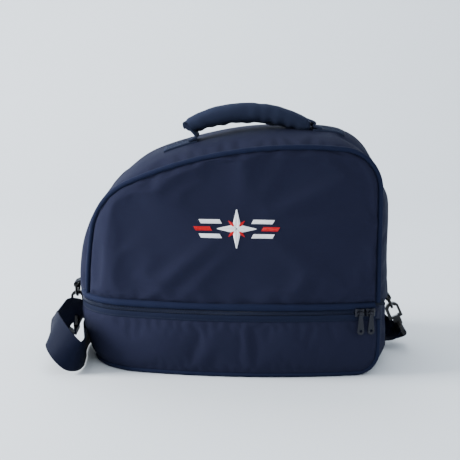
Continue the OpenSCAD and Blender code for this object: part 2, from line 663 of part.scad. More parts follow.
// ---- shoulder strap: middle of the webbing and the direction across it, left clip to right ----
back_y = body_d / 2 + 26;
ply = strap_t + 1.2;
lay_z = strap_t / 2 + 0.5;
stand_z = strap_w / 2 + 0.6;
tail_l = 9;
left_end = [left_x - ply_x, side_y, left_z - ring_h + slot_z - tail_l - gap];
function leaned(x, z) = [right_x + x * cos(hook_lean) - z * sin(hook_lean), side_y,
    right_z + x * sin(hook_lean) + z * cos(hook_lean)];
right_end = leaned(-tail_l - gap, slot_z - ring_h - ply_x);
top_lay = lay_z + 2 * ply;
mid_lay = lay_z + ply;
strap_route = concat([
    [left_end, [0, 1, 0]],
    [left_end - [0, 0, 6], [0, 1, 0]],
    [left_end - [5, 3, 10], [0, 0.99, 0.1]],
    [[tip_x - 28, 0, 21], [0.1, 0.8, 0.6]],
    [[tip_x - 31, -20, 31], [0.2, 0.35, 0.9]],
    [[tip_x - 31, -45, 42], [0.25, 0, 0.97]],
    [[tip_x - 30, -66, 47], [0.35, 0, 0.93]],
    [[tip_x - 26, -84, 46], [0.5, 0, 0.86]],
    [[tip_x - 18, -97, 38], [0.6, 0.05, 0.8]],
    [[tip_x - 9, -103, 29], [0.62, 0.05, 0.78]],
    [[tip_x - 1, -102, 22], [0.5, 0.05, 0.86]],
    [[tip_x + 5, -92, 20], [0.25, 0.1, 0.96]],
    [[tip_x + 7, -74, stand_z], [0.1, 0.03, 1]],
    [[tip_x + 6, -54, stand_z], [0.05, 0, 1]],
    [[tip_x + 3, -30, stand_z], [-0.05, 0, 1]],
    [[tip_x, -5, stand_z], [-0.05, 0, 1]],
    [[tip_x, 25, stand_z], [-0.05, 0, 1]],
    [[tip_x + 4, back_y - 86, stand_z], [-0.05, 0.05, 1]],
    [[tip_x + 15, back_y - 56, stand_z], [-0.1, 0.1, 1]],
    [[tip_x + 33, back_y - 31, 18.5], [-0.2, 0.4, 0.88]],
    [[tip_x + 55, back_y - 13, 15.5], [-0.1, 0.87, 0.45]],
    [[tip_x + 73, back_y - 3, 11.5], [0, 0.98, 0.18]],
    [[tip_x + 86, back_y - 0.5, top_lay + 0.8], [0, 1, 0.05]]],
    [for (x = [-80, -50, -15, 20, 50, 72]) [[x, back_y, top_lay], [0, 1, 0]]],
    turn_back(85, back_y + 1, top_lay, 1),
    [for (x = [65, 30, -5, -40, -65]) [[x, back_y + 4, mid_lay], [0, 1, 0]]],
    turn_back(-80, back_y + 3, mid_lay, -1),
    [for (x = [-60, -30]) [[x, back_y + 3, lay_z], [0, 1, 0]]],
    [for (x = [0, 30, 60, 85, 105, 114]) [[x, back_y + 1, lay_z], [0, 1, 0]]], [
    [[123, back_y + 1, lay_z + 0.4], [0, 1, 0]],
    [[end_x - 28, back_y - 4, 6.5], [0.1, 0.98, 0.1]],
    [[end_x - 13, back_y - 13, 13], [0.35, 0.7, 0.6]],
    [[end_x + 3, back_y - 27, 18], [0.35, 0.3, 0.88]],
    [[end_x + 16, back_y - 45, stand_z], [0.15, 0, 0.99]],
    [[end_x + 24, 72, stand_z], [0, 0, 1]],
    [[end_x + 27, 54, stand_z], [0, 0.05, 1]],
    [[end_x + 26, 41, 18.5], [0.1, 0.35, 0.93]],
    [[end_x + 28.5, 30, 13], [0.3, 0.75, 0.6]],
    [right_end - 6 * [cos(hook_lean), 0, sin(hook_lean)], [0, 1, 0]],
    [right_end, [0, 1, 0]]]);
// Stations where the flat strap turns down and back under itself
function turn_back(x, y, z, s) = [for (a = [-90 : 45 : 90])
    [[x + s * cos(a) * ply / 2, y, z - ply / 2 * (1 + sin(a))], [0, 1, 0]]];
function blend_at(p, k, u) = let (n = len(p),
        a = p[max(k - 1, 0)], b = p[k], c = p[min(k + 1, n - 1)], d = p[min(k + 2, n - 1)])
    0.5 * (2 * b + (c - a) * u + (2 * a - 5 * b + 4 * c - d) * u ^ 2
        + (3 * b - a - 3 * c + d) * u ^ 3);
module strap() {
    mids = [for (s = strap_route) s[0]];
    overs = [for (s = strap_route) unit(s[1])];
    n = len(mids);
    fine = [for (k = [0 : n - 2]) for (u = [0, 0.5]) [blend_at(mids, k, u), blend_at(overs, k, u)]];
    all = concat(fine, [[mids[n - 1], overs[n - 1]]]);
    m = len(all);
    color(navy) loft([for (k = [0 : m - 1])
        let (t = unit(k == 0 ? mids[1] - mids[0] : k == m - 1 ? mids[n - 1] - mids[n - 2]
                 : all[k + 1][0] - all[k - 1][0]),
             w = unit(all[k][1] - (all[k][1] * t) * t) * strap_w / 2,
             v = unit(cross(t, w)) * strap_t / 2, p = all[k][0])
        [p - w - v, p + w - v, p + w + v, p - w + v]]);
}
module strap_adjuster() {
    // Three-bar slide over the strap where it lies flat behind the body
    bar = 4;
    long = 26;
    side = 3;
    color(black) translate([103, back_y + 1, 0]) {
        for (s = [-1, 0, 1]) translate([s * (long - bar) / 2, 0, lay_z + strap_t / 2 + gap + 1.1])
            rotate([90, 0, 0]) cylinder(h = strap_w + 2 * side, r = 1.1, center = true);
        for (s = [-1, 1]) translate([-long / 2, s * (strap_w / 2 + gap + side / 2) - side / 2, 0.4])
            cube([long, side, lay_z + strap_t / 2 + gap + 1.8]);
    }
}

base_panel();
base_board();
lower_wall();
lower_end_wall();
lower_piping();
lower_tape_bottom();
lower_coil_bottom();
lower_zip_stops();
front_panel();
gusset();
divider();
front_piping();
lower_tape_top();
lower_coil_top();
door_tape_fixed();
door_coil_fixed();
door_zip_stops();
handle_tail_left();
handle_tail_right();
handle_grip();
handle_core();
handle_webbing();
door_panel();
door_piping();
door_tape();
door_coil();
front_slider();
front_pull();
corner_slider();
corner_pull();
door_slider();
door_pull();
tab_left();
ring_left();
hook_left();
gate_left();
eye_left();
strap_end_left();
tab_right();
ring_right();
hook_right();
gate_right();
eye_right();
strap_end_right();
strap();
strap_adjuster();
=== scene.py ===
# %% [markdown]
# # A zipped carry bag dressed in cloth
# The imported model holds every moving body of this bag: tray, shell, door, handle, sliders,
# rings and hooks. This lesson keeps its metal pieces, and sews real-looking cloth, webbing,
# piping and zip coils around the rest, each on the body that carries it.

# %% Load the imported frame
import math

import bpy
import numpy as np
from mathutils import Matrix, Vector
from mathutils.bvhtree import BVHTree


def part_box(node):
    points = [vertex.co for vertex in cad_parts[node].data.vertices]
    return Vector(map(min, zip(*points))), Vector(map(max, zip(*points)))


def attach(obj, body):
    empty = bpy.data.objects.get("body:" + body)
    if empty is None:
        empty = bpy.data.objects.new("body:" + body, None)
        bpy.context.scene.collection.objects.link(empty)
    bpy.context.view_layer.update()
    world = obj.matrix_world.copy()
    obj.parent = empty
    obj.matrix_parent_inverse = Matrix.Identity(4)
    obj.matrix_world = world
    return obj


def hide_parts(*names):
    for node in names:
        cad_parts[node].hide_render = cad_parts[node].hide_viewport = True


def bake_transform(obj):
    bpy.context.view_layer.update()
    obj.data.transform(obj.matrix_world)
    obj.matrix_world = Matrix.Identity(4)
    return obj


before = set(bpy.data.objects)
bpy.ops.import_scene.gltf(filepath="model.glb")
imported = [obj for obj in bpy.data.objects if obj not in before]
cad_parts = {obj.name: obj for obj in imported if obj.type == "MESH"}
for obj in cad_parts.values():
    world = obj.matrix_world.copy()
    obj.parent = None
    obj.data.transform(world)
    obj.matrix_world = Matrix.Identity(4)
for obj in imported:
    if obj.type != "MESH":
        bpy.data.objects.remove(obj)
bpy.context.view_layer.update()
MM = 0.001

# %% [markdown]
# ## Camera, floor and light
# The bag is seen from a little above its front, through a long lens. A pale floor that
# curves up behind the bag hides the horizon, as a paper roll does in a studio.

# %% Camera
LENS, AWAY, RISE = 90, 1.4, math.radians(10)
AIM = Vector((-2.4 * MM, 0, 151.3 * MM))
cam = bpy.data.objects.new("camera", bpy.data.cameras.new("camera"))
cam.data.lens = LENS
bpy.context.scene.collection.objects.link(cam)
bpy.context.scene.camera = cam
back_off = Vector((0, -math.cos(RISE), math.sin(RISE))) * AWAY
cam.location = AIM + back_off
cam.rotation_euler = (-back_off).to_track_quat("-Z", "Y").to_euler()
print("camera at", [round(c, 3) for c in cam.location])

# %% [markdown]
# ## Shader maths as plain Python
# A value on its way through a material is wrapped in a small class, so that `1 - mask` or
# `tone * 0.1 + 0.9` add their own Math nodes. Colours go through Mix nodes, since a Math
# node would turn them grey.

# %% Wire: one value in a material
class Wire:
    """A socket whose arithmetic adds Math nodes to the same material."""

    def __init__(self, finish, socket):
        self.finish, self.socket = finish, socket

    def maths(self, operation, *values):
        return self.finish.node("ShaderNodeMath", {"operation": operation}, dict(enumerate(values)))

    def __add__(self, other):
        return self.maths("ADD", self, other)

    def __sub__(self, other):
        return self.maths("SUBTRACT", self, other)

    def __rsub__(self, other):
        return self.maths("SUBTRACT", other, self)

    def __mul__(self, other):
        return self.maths("MULTIPLY", self, other)

    def sine(self):
        return self.maths("SINE", self)

    def absolute(self):
        return self.maths("ABSOLUTE", self)

    __radd__, __rmul__ = __add__, __mul__


print("operators ready: + - * on a", Wire.__name__)

# %% Finish: one material and its nodes
class Finish:
    """A material built from nodes: node() adds any node, surface() sets the shader."""

    def __init__(self, name):
        self.material = bpy.data.materials.new(name)
        self.material.use_nodes = True
        self.tree = self.material.node_tree
        self.shader = self.tree.nodes["Principled BSDF"]

    def node(self, kind, settings=None, sockets=None, out=0):
        """Adds a node: its settings first, then the values or links of its sockets."""
        made = self.tree.nodes.new(kind)
        for key, value in (settings or {}).items():
            setattr(made, key, value)
        for key, value in (sockets or {}).items():
            self.put(made.inputs[key], value)
        return Wire(self, made.outputs[out])

    def put(self, socket, value):
        if isinstance(value, Wire):
            self.tree.links.new(value.socket, socket)
        elif socket.type == "RGBA" and len(value) == 3:
            socket.default_value = (*value, 1)
        else:
            socket.default_value = value

    def mix(self, share, first, second):
        """Colour mixed from first to second by share."""
        return self.node("ShaderNodeMix", {"data_type": "RGBA"},
                         {0: share, 6: first, 7: second}, out=2)

    def noise(self, scale, detail):
        where = self.node("ShaderNodeTexCoord", out=3)
        return self.node("ShaderNodeTexNoise", {},
                         {"Scale": scale, "Detail": detail, "Vector": where})

    def cloth_way(self):
        """Distances in metres across and along the cloth, from the piece's UV map."""
        across = self.node("ShaderNodeSeparateXYZ", {},
                           {0: self.node("ShaderNodeUVMap", {"uv_map": "cloth"})})
        return across, Wire(self, across.socket.node.outputs[1])

    def bump(self, height, strength, distance):
        return self.node("ShaderNodeBump", {}, {
            "Height": height, "Strength": strength, "Distance": distance})

    def surface(self, **values):
        for key, value in values.items():
            self.put(self.shader.inputs[key.replace("_", " ")], value)
        return self.material


print("material helpers ready")

# %% [markdown]
# ## The finishes
# The body is a plain-woven navy polyester with a soft sheen. Webbing is ribbed, the coils
# are glossy nylon, and the metal is blackened. Every finish carries its own fine relief:
# yarns crossing at real spacing, slow drifts of tone, and a fine random speckle.

# %% Woven cloth
TAU = 2 * math.pi


def woven(name, dark, light, yarn, relief, rough=0.62, sheen=0.01):
    """Plain weave: yarns over and under each other, yarn metres apart."""
    f = Finish(name)
    across, along = f.cloth_way()
    over = (across * (TAU / yarn)).sine() * (along * (TAU / yarn)).sine()
    slub, drift = f.noise(900, 2), f.noise(14, 4)
    tone = over * 0.16 + slub * 0.35 + drift * 0.55 - 0.05
    return f.surface(
        Base_Color=f.mix(tone, dark, light),
        Roughness=rough + (slub - 0.5) * 0.16 + (drift - 0.5) * 0.10,
        Normal=f.bump(over * 0.5 + slub * 0.6, relief, 0.12 * MM),
        Sheen_Weight=sheen, Sheen_Roughness=0.45, Sheen_Tint=(0.45, 0.6, 0.9, 1),
        Specular_IOR_Level=0.01, Specular_Tint=(0.55, 0.7, 1.0, 1))


shell_cloth = woven("navy_shell_cloth", (0.01008, 0.01104, 0.0232), (0.01472, 0.01632, 0.0336),
                    0.55 * MM, 0.35)
trim_cloth = woven("navy_trim_cloth", (0.00752, 0.00992, 0.02368), (0.0128, 0.016, 0.03712),
                   0.45 * MM, 0.45, rough=0.55)
lining_cloth = woven("dark_lining_cloth", (0.0096, 0.0112, 0.0176), (0.016, 0.0184, 0.0272),
                     0.40 * MM, 0.25, rough=0.7, sheen=0.05)
grip_cloth = woven("navy_grip_cloth", (0.0112, 0.01472, 0.0296), (0.0256, 0.0312, 0.056),
                   1.1 * MM, 1.0, rough=0.68, sheen=0.02)
print("woven cloths:", shell_cloth.name, trim_cloth.name, lining_cloth.name, grip_cloth.name)

# %% Webbing and tape
def ribbed(name, dark, light, rib, slope=0.0):
    """Woven tape: ribs run across it, and slope turns them into a herringbone."""
    f = Finish(name)
    across, along = f.cloth_way()
    ribs = ((along + across.absolute() * slope) * (TAU / rib)).sine()
    ends = (across * (TAU / (rib * 0.8))).sine()
    fuzz, drift = f.noise(1400, 2), f.noise(22, 3)
    tone = ribs * 0.22 + ends * 0.08 + fuzz * 0.3 + drift * 0.4
    return f.surface(
        Base_Color=f.mix(tone, dark, light), Roughness=0.6 + (fuzz - 0.5) * 0.2,
        Normal=f.bump(ribs * 0.6 + ends * 0.25 + fuzz * 0.4, 0.5, 0.2 * MM),
        Sheen_Weight=0.01, Sheen_Roughness=0.4, Sheen_Tint=(0.6, 0.7, 0.9, 1),
        Specular_IOR_Level=0.05, Specular_Tint=(0.6, 0.7, 1.0, 1))


strap_web = ribbed("navy_strap_webbing", (0.00288, 0.00368, 0.01024),
                   (0.00512, 0.00656, 0.01728), 1.6 * MM, slope=1.0)
dark_web = ribbed("dark_webbing", (0.00352, 0.004, 0.00672), (0.0072, 0.00832, 0.0136),
                  1.5 * MM, slope=0.8)
zip_tape = ribbed("navy_zip_tape", (0.0064, 0.00832, 0.0192), (0.0112, 0.0144, 0.032), 0.9 * MM)
print("webbings:", strap_web.name, dark_web.name, zip_tape.name)

# %% Nylon, thread, foam and blackened metal
def moulded(name, dark, light, rough, relief, grain, metal=0.0, coat=0.0, shine=0.5):
    """Smooth hard finish with faint grain and a drift in its gloss."""
    f = Finish(name)
    speck, smear = f.noise(grain, 4), f.noise(60, 3)
    return f.surface(
        Base_Color=f.mix(speck * 0.5 + smear * 0.5, dark, light),
        Roughness=rough + (smear - 0.5) * 0.22, Normal=f.bump(speck, relief, 0.05 * MM),
        Metallic=metal, Coat_Weight=coat, Coat_Roughness=0.25, Specular_IOR_Level=shine)


coil_nylon = moulded("zip_coil_nylon", (0.011, 0.0145, 0.033), (0.019, 0.025, 0.054),
                     0.42, 0.2, 900, shine=0.2)
thread = moulded("sewing_thread", (0.007, 0.010, 0.024), (0.012, 0.017, 0.038),
                 0.5, 0.5, 2500, shine=0.15)
white_silk = moulded("white_embroidery_thread", (0.62, 0.63, 0.66), (0.80, 0.81, 0.84),
                     0.42, 0.4, 2500)
red_silk = moulded("red_embroidery_thread", (0.36, 0.002, 0.005), (0.50, 0.005, 0.010),
                   0.45, 0.4, 2500, shine=0.15)
gunmetal = moulded("blackened_metal", (0.006, 0.006, 0.007), (0.013, 0.013, 0.015),
                   0.32, 0.25, 700, metal=0.5, coat=0.15, shine=0.35)
pull_metal = moulded("slider_gunmetal", (0.0036, 0.0042, 0.0084), (0.0072, 0.0084, 0.0150),
                     0.38, 0.2, 700, metal=0.3, coat=0.05, shine=0.3)
black_nylon = moulded("black_moulded_nylon", (0.010, 0.010, 0.012), (0.020, 0.020, 0.023),
                      0.38, 0.3, 800, coat=0.1)
foam = moulded("grey_foam", (0.05, 0.05, 0.055), (0.09, 0.09, 0.095), 0.9, 0.8, 1500)
print("hard finishes:", coil_nylon.name, thread.name, gunmetal.name, black_nylon.name, foam.name)

# %% [markdown]
# ## The body's curves
# The bag's plan is two long bows that meet in a rounded tip, cut off by a square end. Its
# side view is an arch of four arcs. The same curves drive every cloth panel, so that they
# are written once, as functions that take whole arrays of points.

# %% Arrays of points
def unit(vectors):
    """Vectors along the last axis, each made one long."""
    return vectors / np.linalg.norm(vectors, axis=-1, keepdims=True)


def spots(*columns):
    """Points from their coordinates, each an array or one number for all."""
    return np.stack(np.broadcast_arrays(*columns), -1).astype(float)


def reached(distance, far):
    """0 at no distance, rising evenly to 1 at far."""
    return np.clip(distance / far, 0, 1)


print("a unit vector:", unit(spots(3.0, 4.0)))

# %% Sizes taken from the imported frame
chain_low, chain_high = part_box("lower_coil_bottom")
front_low, front_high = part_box("front_panel")
wall_low, wall_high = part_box("lower_wall")
TIP, END = chain_low.x, chain_high.x + 2 * MM
DEPTH = chain_high.y - chain_low.y
PANEL_Z, TOP_Z = front_low.z, front_high.z
WALL_FOOT, WALL_TOP = wall_low.z, wall_high.z
FACE_R, TIP_FLAT, PANEL_T = 600 * MM, 17 * MM, 6 * MM
CROWN, END_BOW, TIP_LEAN = 12 * MM, 20 * MM, 15 * MM
SEAM, PIPING_R = 0.3 * MM, 2.9 * MM
ZIP_Z = chain_high.z + 0.15 * MM
face_x, face_y = END - 117 * MM, FACE_R - DEPTH / 2
print("tip", round(TIP, 4), "end", round(END, 4), "depth", round(DEPTH, 4), "zip", round(ZIP_Z, 4))

# %% Plan of the body
def tip_radius(tip):
    return ((FACE_R ** 2 - (face_x - tip) ** 2 - (face_y + TIP_FLAT) ** 2)
            / (2 * (FACE_R - face_x + tip)))


def tip_sine(tip):
    return (face_x - tip - tip_radius(tip)) / (FACE_R - tip_radius(tip))


def half_depth(x, inset=0.0, tip=TIP):
    """Half of the body's depth at x, set in from its face."""
    r = tip_radius(tip)
    bow = np.sqrt(np.maximum((FACE_R - inset) ** 2 - (x - face_x) ** 2, 0)) - face_y
    nose = TIP_FLAT + np.sqrt(np.maximum((r - inset) ** 2 - (x - tip - r) ** 2, 0))
    return np.where(x > face_x - (FACE_R - inset) * tip_sine(tip), bow, nose)


END_HALF = float(half_depth(END))
print("half depth at the square end", round(END_HALF, 4))

# %% Side view of the arch
TOP_R, SHOULDER_R, SIDE_R, CORNER_R, FOOT_R = (r * MM for r in (450, 78, 520, 45, 22))
LEAN, SIDE_TURN = math.radians(25), math.radians(10)
top_c = np.array([TIP + CROWN + SIDE_R - (SIDE_R - SHOULDER_R) * math.cos(SIDE_TURN)
                  + (TOP_R - SHOULDER_R) * math.sin(LEAN), TOP_Z - TOP_R])
shoulder_c = top_c + (TOP_R - SHOULDER_R) * np.array([-math.sin(LEAN), math.cos(LEAN)])
side_c = shoulder_c + (SIDE_R - SHOULDER_R) * np.array([math.cos(SIDE_TURN), -math.sin(SIDE_TURN)])
corner_c = np.array([END - CORNER_R, top_c[1] + math.sqrt(
    (TOP_R - CORNER_R) ** 2 - (END - CORNER_R - top_c[0]) ** 2)])
corner_a = math.atan2(corner_c[1] - top_c[1], corner_c[0] - top_c[0])


def arc(centre, radius, start, stop, step=2 * MM):
    """Points on an arc as x, z and outward normal."""
    a = np.linspace(start, stop, max(3, int(abs(stop - start) * radius / step)))
    return spots(centre[0] + radius * np.cos(a), centre[1] + radius * np.sin(a),
                 np.cos(a), np.sin(a))


def arch(inset=0.0, foot=None):
    """The arch from the rounded tip over the top to the square end's foot."""
    foot = PANEL_Z if foot is None else foot
    side_a = math.pi - math.asin((foot - side_c[1]) / SIDE_R)
    shoulder_a = math.radians(170)
    return np.concatenate([
        arc(side_c, SIDE_R - inset, side_a, shoulder_a)[:-1],
        arc(shoulder_c, SHOULDER_R - inset, shoulder_a, math.pi / 2 + LEAN)[:-1],
        arc(top_c, TOP_R - inset, math.pi / 2 + LEAN, corner_a)[:-1],
        arc(corner_c, CORNER_R - inset, corner_a, 0)[:-1],
        spots(END - inset, np.linspace(corner_c[1], foot, 40), 1, 0)])


def lengths(line, dims=2):
    """Distance along a line at each of its points."""
    steps = np.linalg.norm(np.diff(line[:, :dims], axis=0), axis=1)
    return np.concatenate([[0], np.cumsum(steps)])


def between(at, s, columns):
    """The columns of a line at distances at, where s is the distance at each of its points."""
    return np.stack([np.interp(at, s, c) for c in columns.T], 1)


def sample(line, shares, dims=2):
    """The line's columns at shares of its length."""
    s = lengths(line, dims)
    return between(np.asarray(shares) * s[-1], s, line)


def outward(line):
    """The arch's normals as vectors in space."""
    return spots(line[:, 2], 0, line[:, 3])


print("arch length", round(float(lengths(arch())[-1]), 3), "m")

# %% [markdown]
# ## One way to make every cloth piece
# Cloth here is a loft: a row of closed cross-sections joined into a skin. A padded panel's
# cross-section runs over its outer face and back under its inner face; a cord's is a small
# circle. Each loft also lays the cloth flat in a UV map in metres, so that yarns keep their
# spacing whatever the piece's shape.

# %% The loft
SHARP = math.radians(38)


def make_piece(name, points, quads, laid, finishes, slots=None):
    """A mesh object from points, quads, and each quad corner's place on the flat cloth."""
    mesh = bpy.data.meshes.new(name)
    mesh.from_pydata(points.tolist(), [], quads.tolist())
    laid_map = mesh.uv_layers.new(name="cloth")
    laid_map.data.foreach_set("uv", np.asarray(laid, np.float32).ravel())
    mesh.polygons.foreach_set("use_smooth", np.ones(len(mesh.polygons), bool))
    for finish in finishes:
        mesh.materials.append(finish)
    if slots is not None:
        mesh.polygons.foreach_set("material_index", np.asarray(slots, np.int32))
    mesh.set_sharp_from_angle(angle=SHARP)
    piece = bpy.data.objects.new(name, mesh)
    bpy.context.scene.collection.objects.link(piece)
    return piece


def cells_of(grid):
    """The four corners of each cell of a grid."""
    cells = np.stack([grid[:-1, :-1], grid[:-1, 1:], grid[1:, 1:], grid[1:, :-1]], 2)
    return cells.reshape(-1, 4, *grid.shape[2:])


def loft_parts(rings, capped=True):
    """Points, quads and flat places of a skin over closed rings (rows, around, 3)."""
    rows, around, _ = rings.shape
    step = np.linalg.norm(np.diff(rings, axis=1, append=rings[:, :1]), axis=2)
    u = np.concatenate([np.zeros((rows, 1)), np.cumsum(step, 1)], 1)
    u -= u[:, around // 4:around // 4 + 1]
    rise = np.linalg.norm(np.diff(rings, axis=0), axis=2).mean(1)
    v = np.concatenate([[0], np.cumsum(rise)])
    numbers = np.arange(rows * around).reshape(rows, around)
    quads = cells_of(np.concatenate([numbers, numbers[:, :1]], 1))
    laid = cells_of(spots(u, v[:, None]))
    if capped:
        j = np.arange(around // 2 - 1)
        cap = np.stack([around - 1 - j, around - 2 - j, j + 1, j], 1)
        flat = spots(u[0, cap], 0)
        quads = np.concatenate([quads, cap, (rows - 1) * around + cap[:, ::-1]])
        laid = np.concatenate([laid, flat, flat[:, ::-1]])
    return rings.reshape(-1, 3), quads, laid


def loft(name, rings, finish):
    return make_piece(name, *loft_parts(rings), [finish])


def joined(name, parts, finish):
    """One piece from several lofts."""
    points, quads, laid = zip(*parts)
    base = np.cumsum([0, *map(len, points[:-1])])
    return make_piece(name, np.concatenate(points),
                      np.concatenate([q + b for q, b in zip(quads, base)]),
                      np.concatenate(laid), [finish])


def padded_skin(name, outer, inner, finish, lining):
    """A padded panel: a grid of outer points over a grid of inner ones (rows, across, 3)."""
    rings = np.concatenate([outer, inner[:, ::-1]], 1)
    points, quads, laid = loft_parts(rings)
    rows, around, _ = rings.shape
    j = np.tile(np.arange(around), rows - 1)
    slots = np.zeros(len(quads), int)
    slots[:len(j)] = (j >= around // 2) & (j < around - 1)
    return make_piece(name, points, quads, laid, [finish, lining], slots)


print("loft helpers ready")

# %% Smooth random relief
def waves(points, seed, longest, shortest, count=9):
    """A smooth random height over points, mostly between -1 and 1."""
    dice = np.random.default_rng(seed)
    total = 0
    for _ in range(count):
        heading, phase = dice.uniform(0, TAU, 2)
        length = dice.uniform(shortest, longest)
        run = points[..., 0] * math.cos(heading) + points[..., 1] * math.sin(heading)
        total = total + np.sin(TAU * run / length + phase)
    return total / math.sqrt(count)


def ripple(s, seed, longest, shortest, count=7):
    """The same along one line: the gathers of a seam."""
    return waves(spots(s, 0), seed, longest, shortest, count)


def tuck(distance, drop, reach):
    """Height of padded cloth near a seam: drop below at the seam, level after reach."""
    return -drop * (1 - reached(distance, reach)) ** 2


def groove(distance, drop):
    """The narrow dip right beside a seam's piping."""
    return -drop * np.exp(-(distance / (2.4 * MM)) ** 2)


def crowd(count, k=0.6):
    """Shares from 0 to 1 that crowd towards both ends."""
    t = np.linspace(0, 1, count)
    return t - k * np.sin(TAU * t) / TAU


print("relief helpers ready")

# %% [markdown]
# ## Front panel and back door
# Both are padded panels cut to the arch. A patch between four sides of the outline gives an
# even grid whose lines follow the seams. The face keeps the body's bow, dips where the seam
# pulls it in, gathers slightly along the thread, and billows a little in the middle.

# %% Patch between four sides
def face_patch(across, up):
    """x and z of a grid over the arch's face, rows from the foot to the top.

    Also each point's distance from the nearest seam, and that seam point's place along it."""
    line = arch()
    facing = np.degrees(np.arctan2(line[:, 3], line[:, 2]))
    first, last = (np.argmin(np.abs(facing - a)) for a in (135, 45))
    left, top, right = line[:first + 1], line[first:last + 1], line[last:][::-1]
    foot = np.array([left[0], right[0]])
    us, vs = crowd(across), crowd(up)
    low, high, near, far = (sample(side, shares)[:, :2] for side, shares in (
        (foot, us), (top, us), (left, vs), (right, vs)))
    u, v = us[None, :, None], vs[:, None, None]
    doubled = ((1 - u) * (1 - v) * low[0] + u * (1 - v) * low[-1]
               + (1 - u) * v * high[0] + u * v * high[-1])
    grid = ((1 - v) * low[None] + v * high[None] + (1 - u) * near[:, None]
            + u * far[:, None] - doubled)
    rim = np.concatenate([sample(line, np.linspace(0, 1, 500))[:, :2],
                          sample(foot[::-1], np.linspace(0, 1, 200))[:, :2]])
    reach = np.linalg.norm(grid[:, :, None] - rim[None, None], axis=3)
    return grid, reach.min(2), lengths(rim)[reach.argmin(2)]


print("patch of", face_patch(9, 7)[0].shape[:2], "points tried")

# %% Front and door
FRONT_CREASES = (((-98, 92), (-10, 164), 4.0, 10), ((-62, 86), (4, 152), 2.8, 8),
                 ((30, 184), (156, 238), 4.4, 12), ((12, 264), (15, 190), 2.4, 14),
                 ((38, 152), (164, 90), 3.2, 13), ((42, 172), (168, 178), 2.6, 10),
                 ((-20, 180), (-135, 214), 2.0, 15), ((-40, 150), (-150, 122), 1.6, 15),
                 ((62, 252), (24, 196), 2.2, 12))
DOOR_CREASES = (((-90, 110), (-10, 180), 1.8, 13), ((40, 180), (140, 225), 1.8, 13),
                ((30, 150), (150, 100), 1.6, 14), ((5, 250), (10, 190), 1.2, 14))
FACE_ROWS, FACE_ACROSS = 68, 84


def crease(x, z, start, stop, height, width):
    """A soft fold from start to stop (mm): height at its middle, fading to both ends."""
    a, b = np.array(start) * MM, np.array(stop) * MM
    along = b - a
    t = ((x - a[0]) * along[0] + (z - a[1]) * along[1]) / (along @ along)
    off = ((x - a[0]) * along[1] - (z - a[1]) * along[0]) / np.linalg.norm(along)
    fade = np.clip(1 - (2 * t - 1) ** 2 * 0.75, 0, 1) ** 1.5
    return height * MM * fade * np.exp(-(off / (width * MM)) ** 2)


def face_panel(name, side, seed, creases):
    """The front panel (side -1) or the back door (side 1)."""
    grid, reach, s = face_patch(FACE_ACROSS, FACE_ROWS)
    x, z = grid[..., 0], grid[..., 1]
    slope = (half_depth(x + 0.5 * MM) - half_depth(x - 0.5 * MM)) / MM
    normal = unit(spots(-slope, 1, 0))
    gathers = ripple(s, seed, 34 * MM, 9 * MM) * np.exp(-reach / (7 * MM))
    lift = ((tuck(reach, 2.6 * MM, 9 * MM) + groove(reach, 1.4 * MM))
            * np.clip(np.abs(normal[..., 1]), 0.3, 1)
            + gathers * 0.45 * MM * reached(reach, MM)
            + waves(grid, seed + 1, 190 * MM, 80 * MM) * 0.7 * MM * reached(reach, 30 * MM)
            + 1.6 * MM * reached(reach, 50 * MM) ** 0.5)
    for fold in creases:
        lift = lift + crease(x, z, *fold) * reached(reach, 12 * MM)
    flip = np.array([1, side, 1])
    base = spots(x, half_depth(x), z)
    outer = (base + normal * lift[..., None]) * flip
    inner = (base - normal * PANEL_T) * flip
    return padded_skin(name, outer[:, ::side], inner[:, ::side], shell_cloth, lining_cloth)


front = face_panel("front_cloth", -1, 11, FRONT_CREASES)
door = face_panel("door_cloth", 1, 23, DOOR_CREASES)
print("front and door:", len(front.data.polygons), "faces each")

# %% [markdown]
# ## Boxing strip
# One padded strip runs from the rounded tip over the crown and down the square end. It is
# fullest in the middle and drops to its seams on both sides, and the stitching gathers it
# into short shallow folds where it turns the shoulder.

# %% Crown of the boxing
DOOR_ZIP_W = 14 * MM


def boxing_edges(x):
    """y of the boxing's front and back edges at x."""
    h = half_depth(x, PANEL_T + SEAM)
    return -h, h - DOOR_ZIP_W


def bend_middle(centre, radius, degrees):
    a = math.radians(degrees)
    return centre + radius * np.array([math.cos(a), math.sin(a)])


TIGHT = ((bend_middle(shoulder_c, SHOULDER_R, 142), SHOULDER_R * 0.59),
         (bend_middle(corner_c, CORNER_R, 22), CORNER_R * 0.58))


def fullest(line):
    """How far the boxing stands out midway between its seams, less where the arch is tight."""
    x, z, nx, nz = line.T
    square = END_BOW * (1 - 0.17 * reached(z - ZIP_Z, 45 * MM))
    turned = (CROWN + (END_BOW - CROWN) * np.clip(nx, 0, 1) ** 2) * (1 + 0.1 * nz ** 4)
    bulge = turned + (square - turned) * reached(nx - 0.90, 0.10)
    for middle, reach in TIGHT:
        bulge = bulge * (1 - 0.9 * np.exp(-(np.hypot(x - middle[0], z - middle[1]) / reach) ** 3))
    return bulge[:, None]


def boxing_lift(line, y):
    """How far the boxing stands out of the arch at depths y, one row for each point of line."""
    low, high = boxing_edges(line[:, :1])
    t = reached(np.abs(y - (low + high) / 2), (high - low) / 2)
    return fullest(line) * (1 - t ** np.where(line[:, 2:3] < 0, 2 - line[:, 2:3], 2))


print("boxing is tight round", len(TIGHT), "bends")

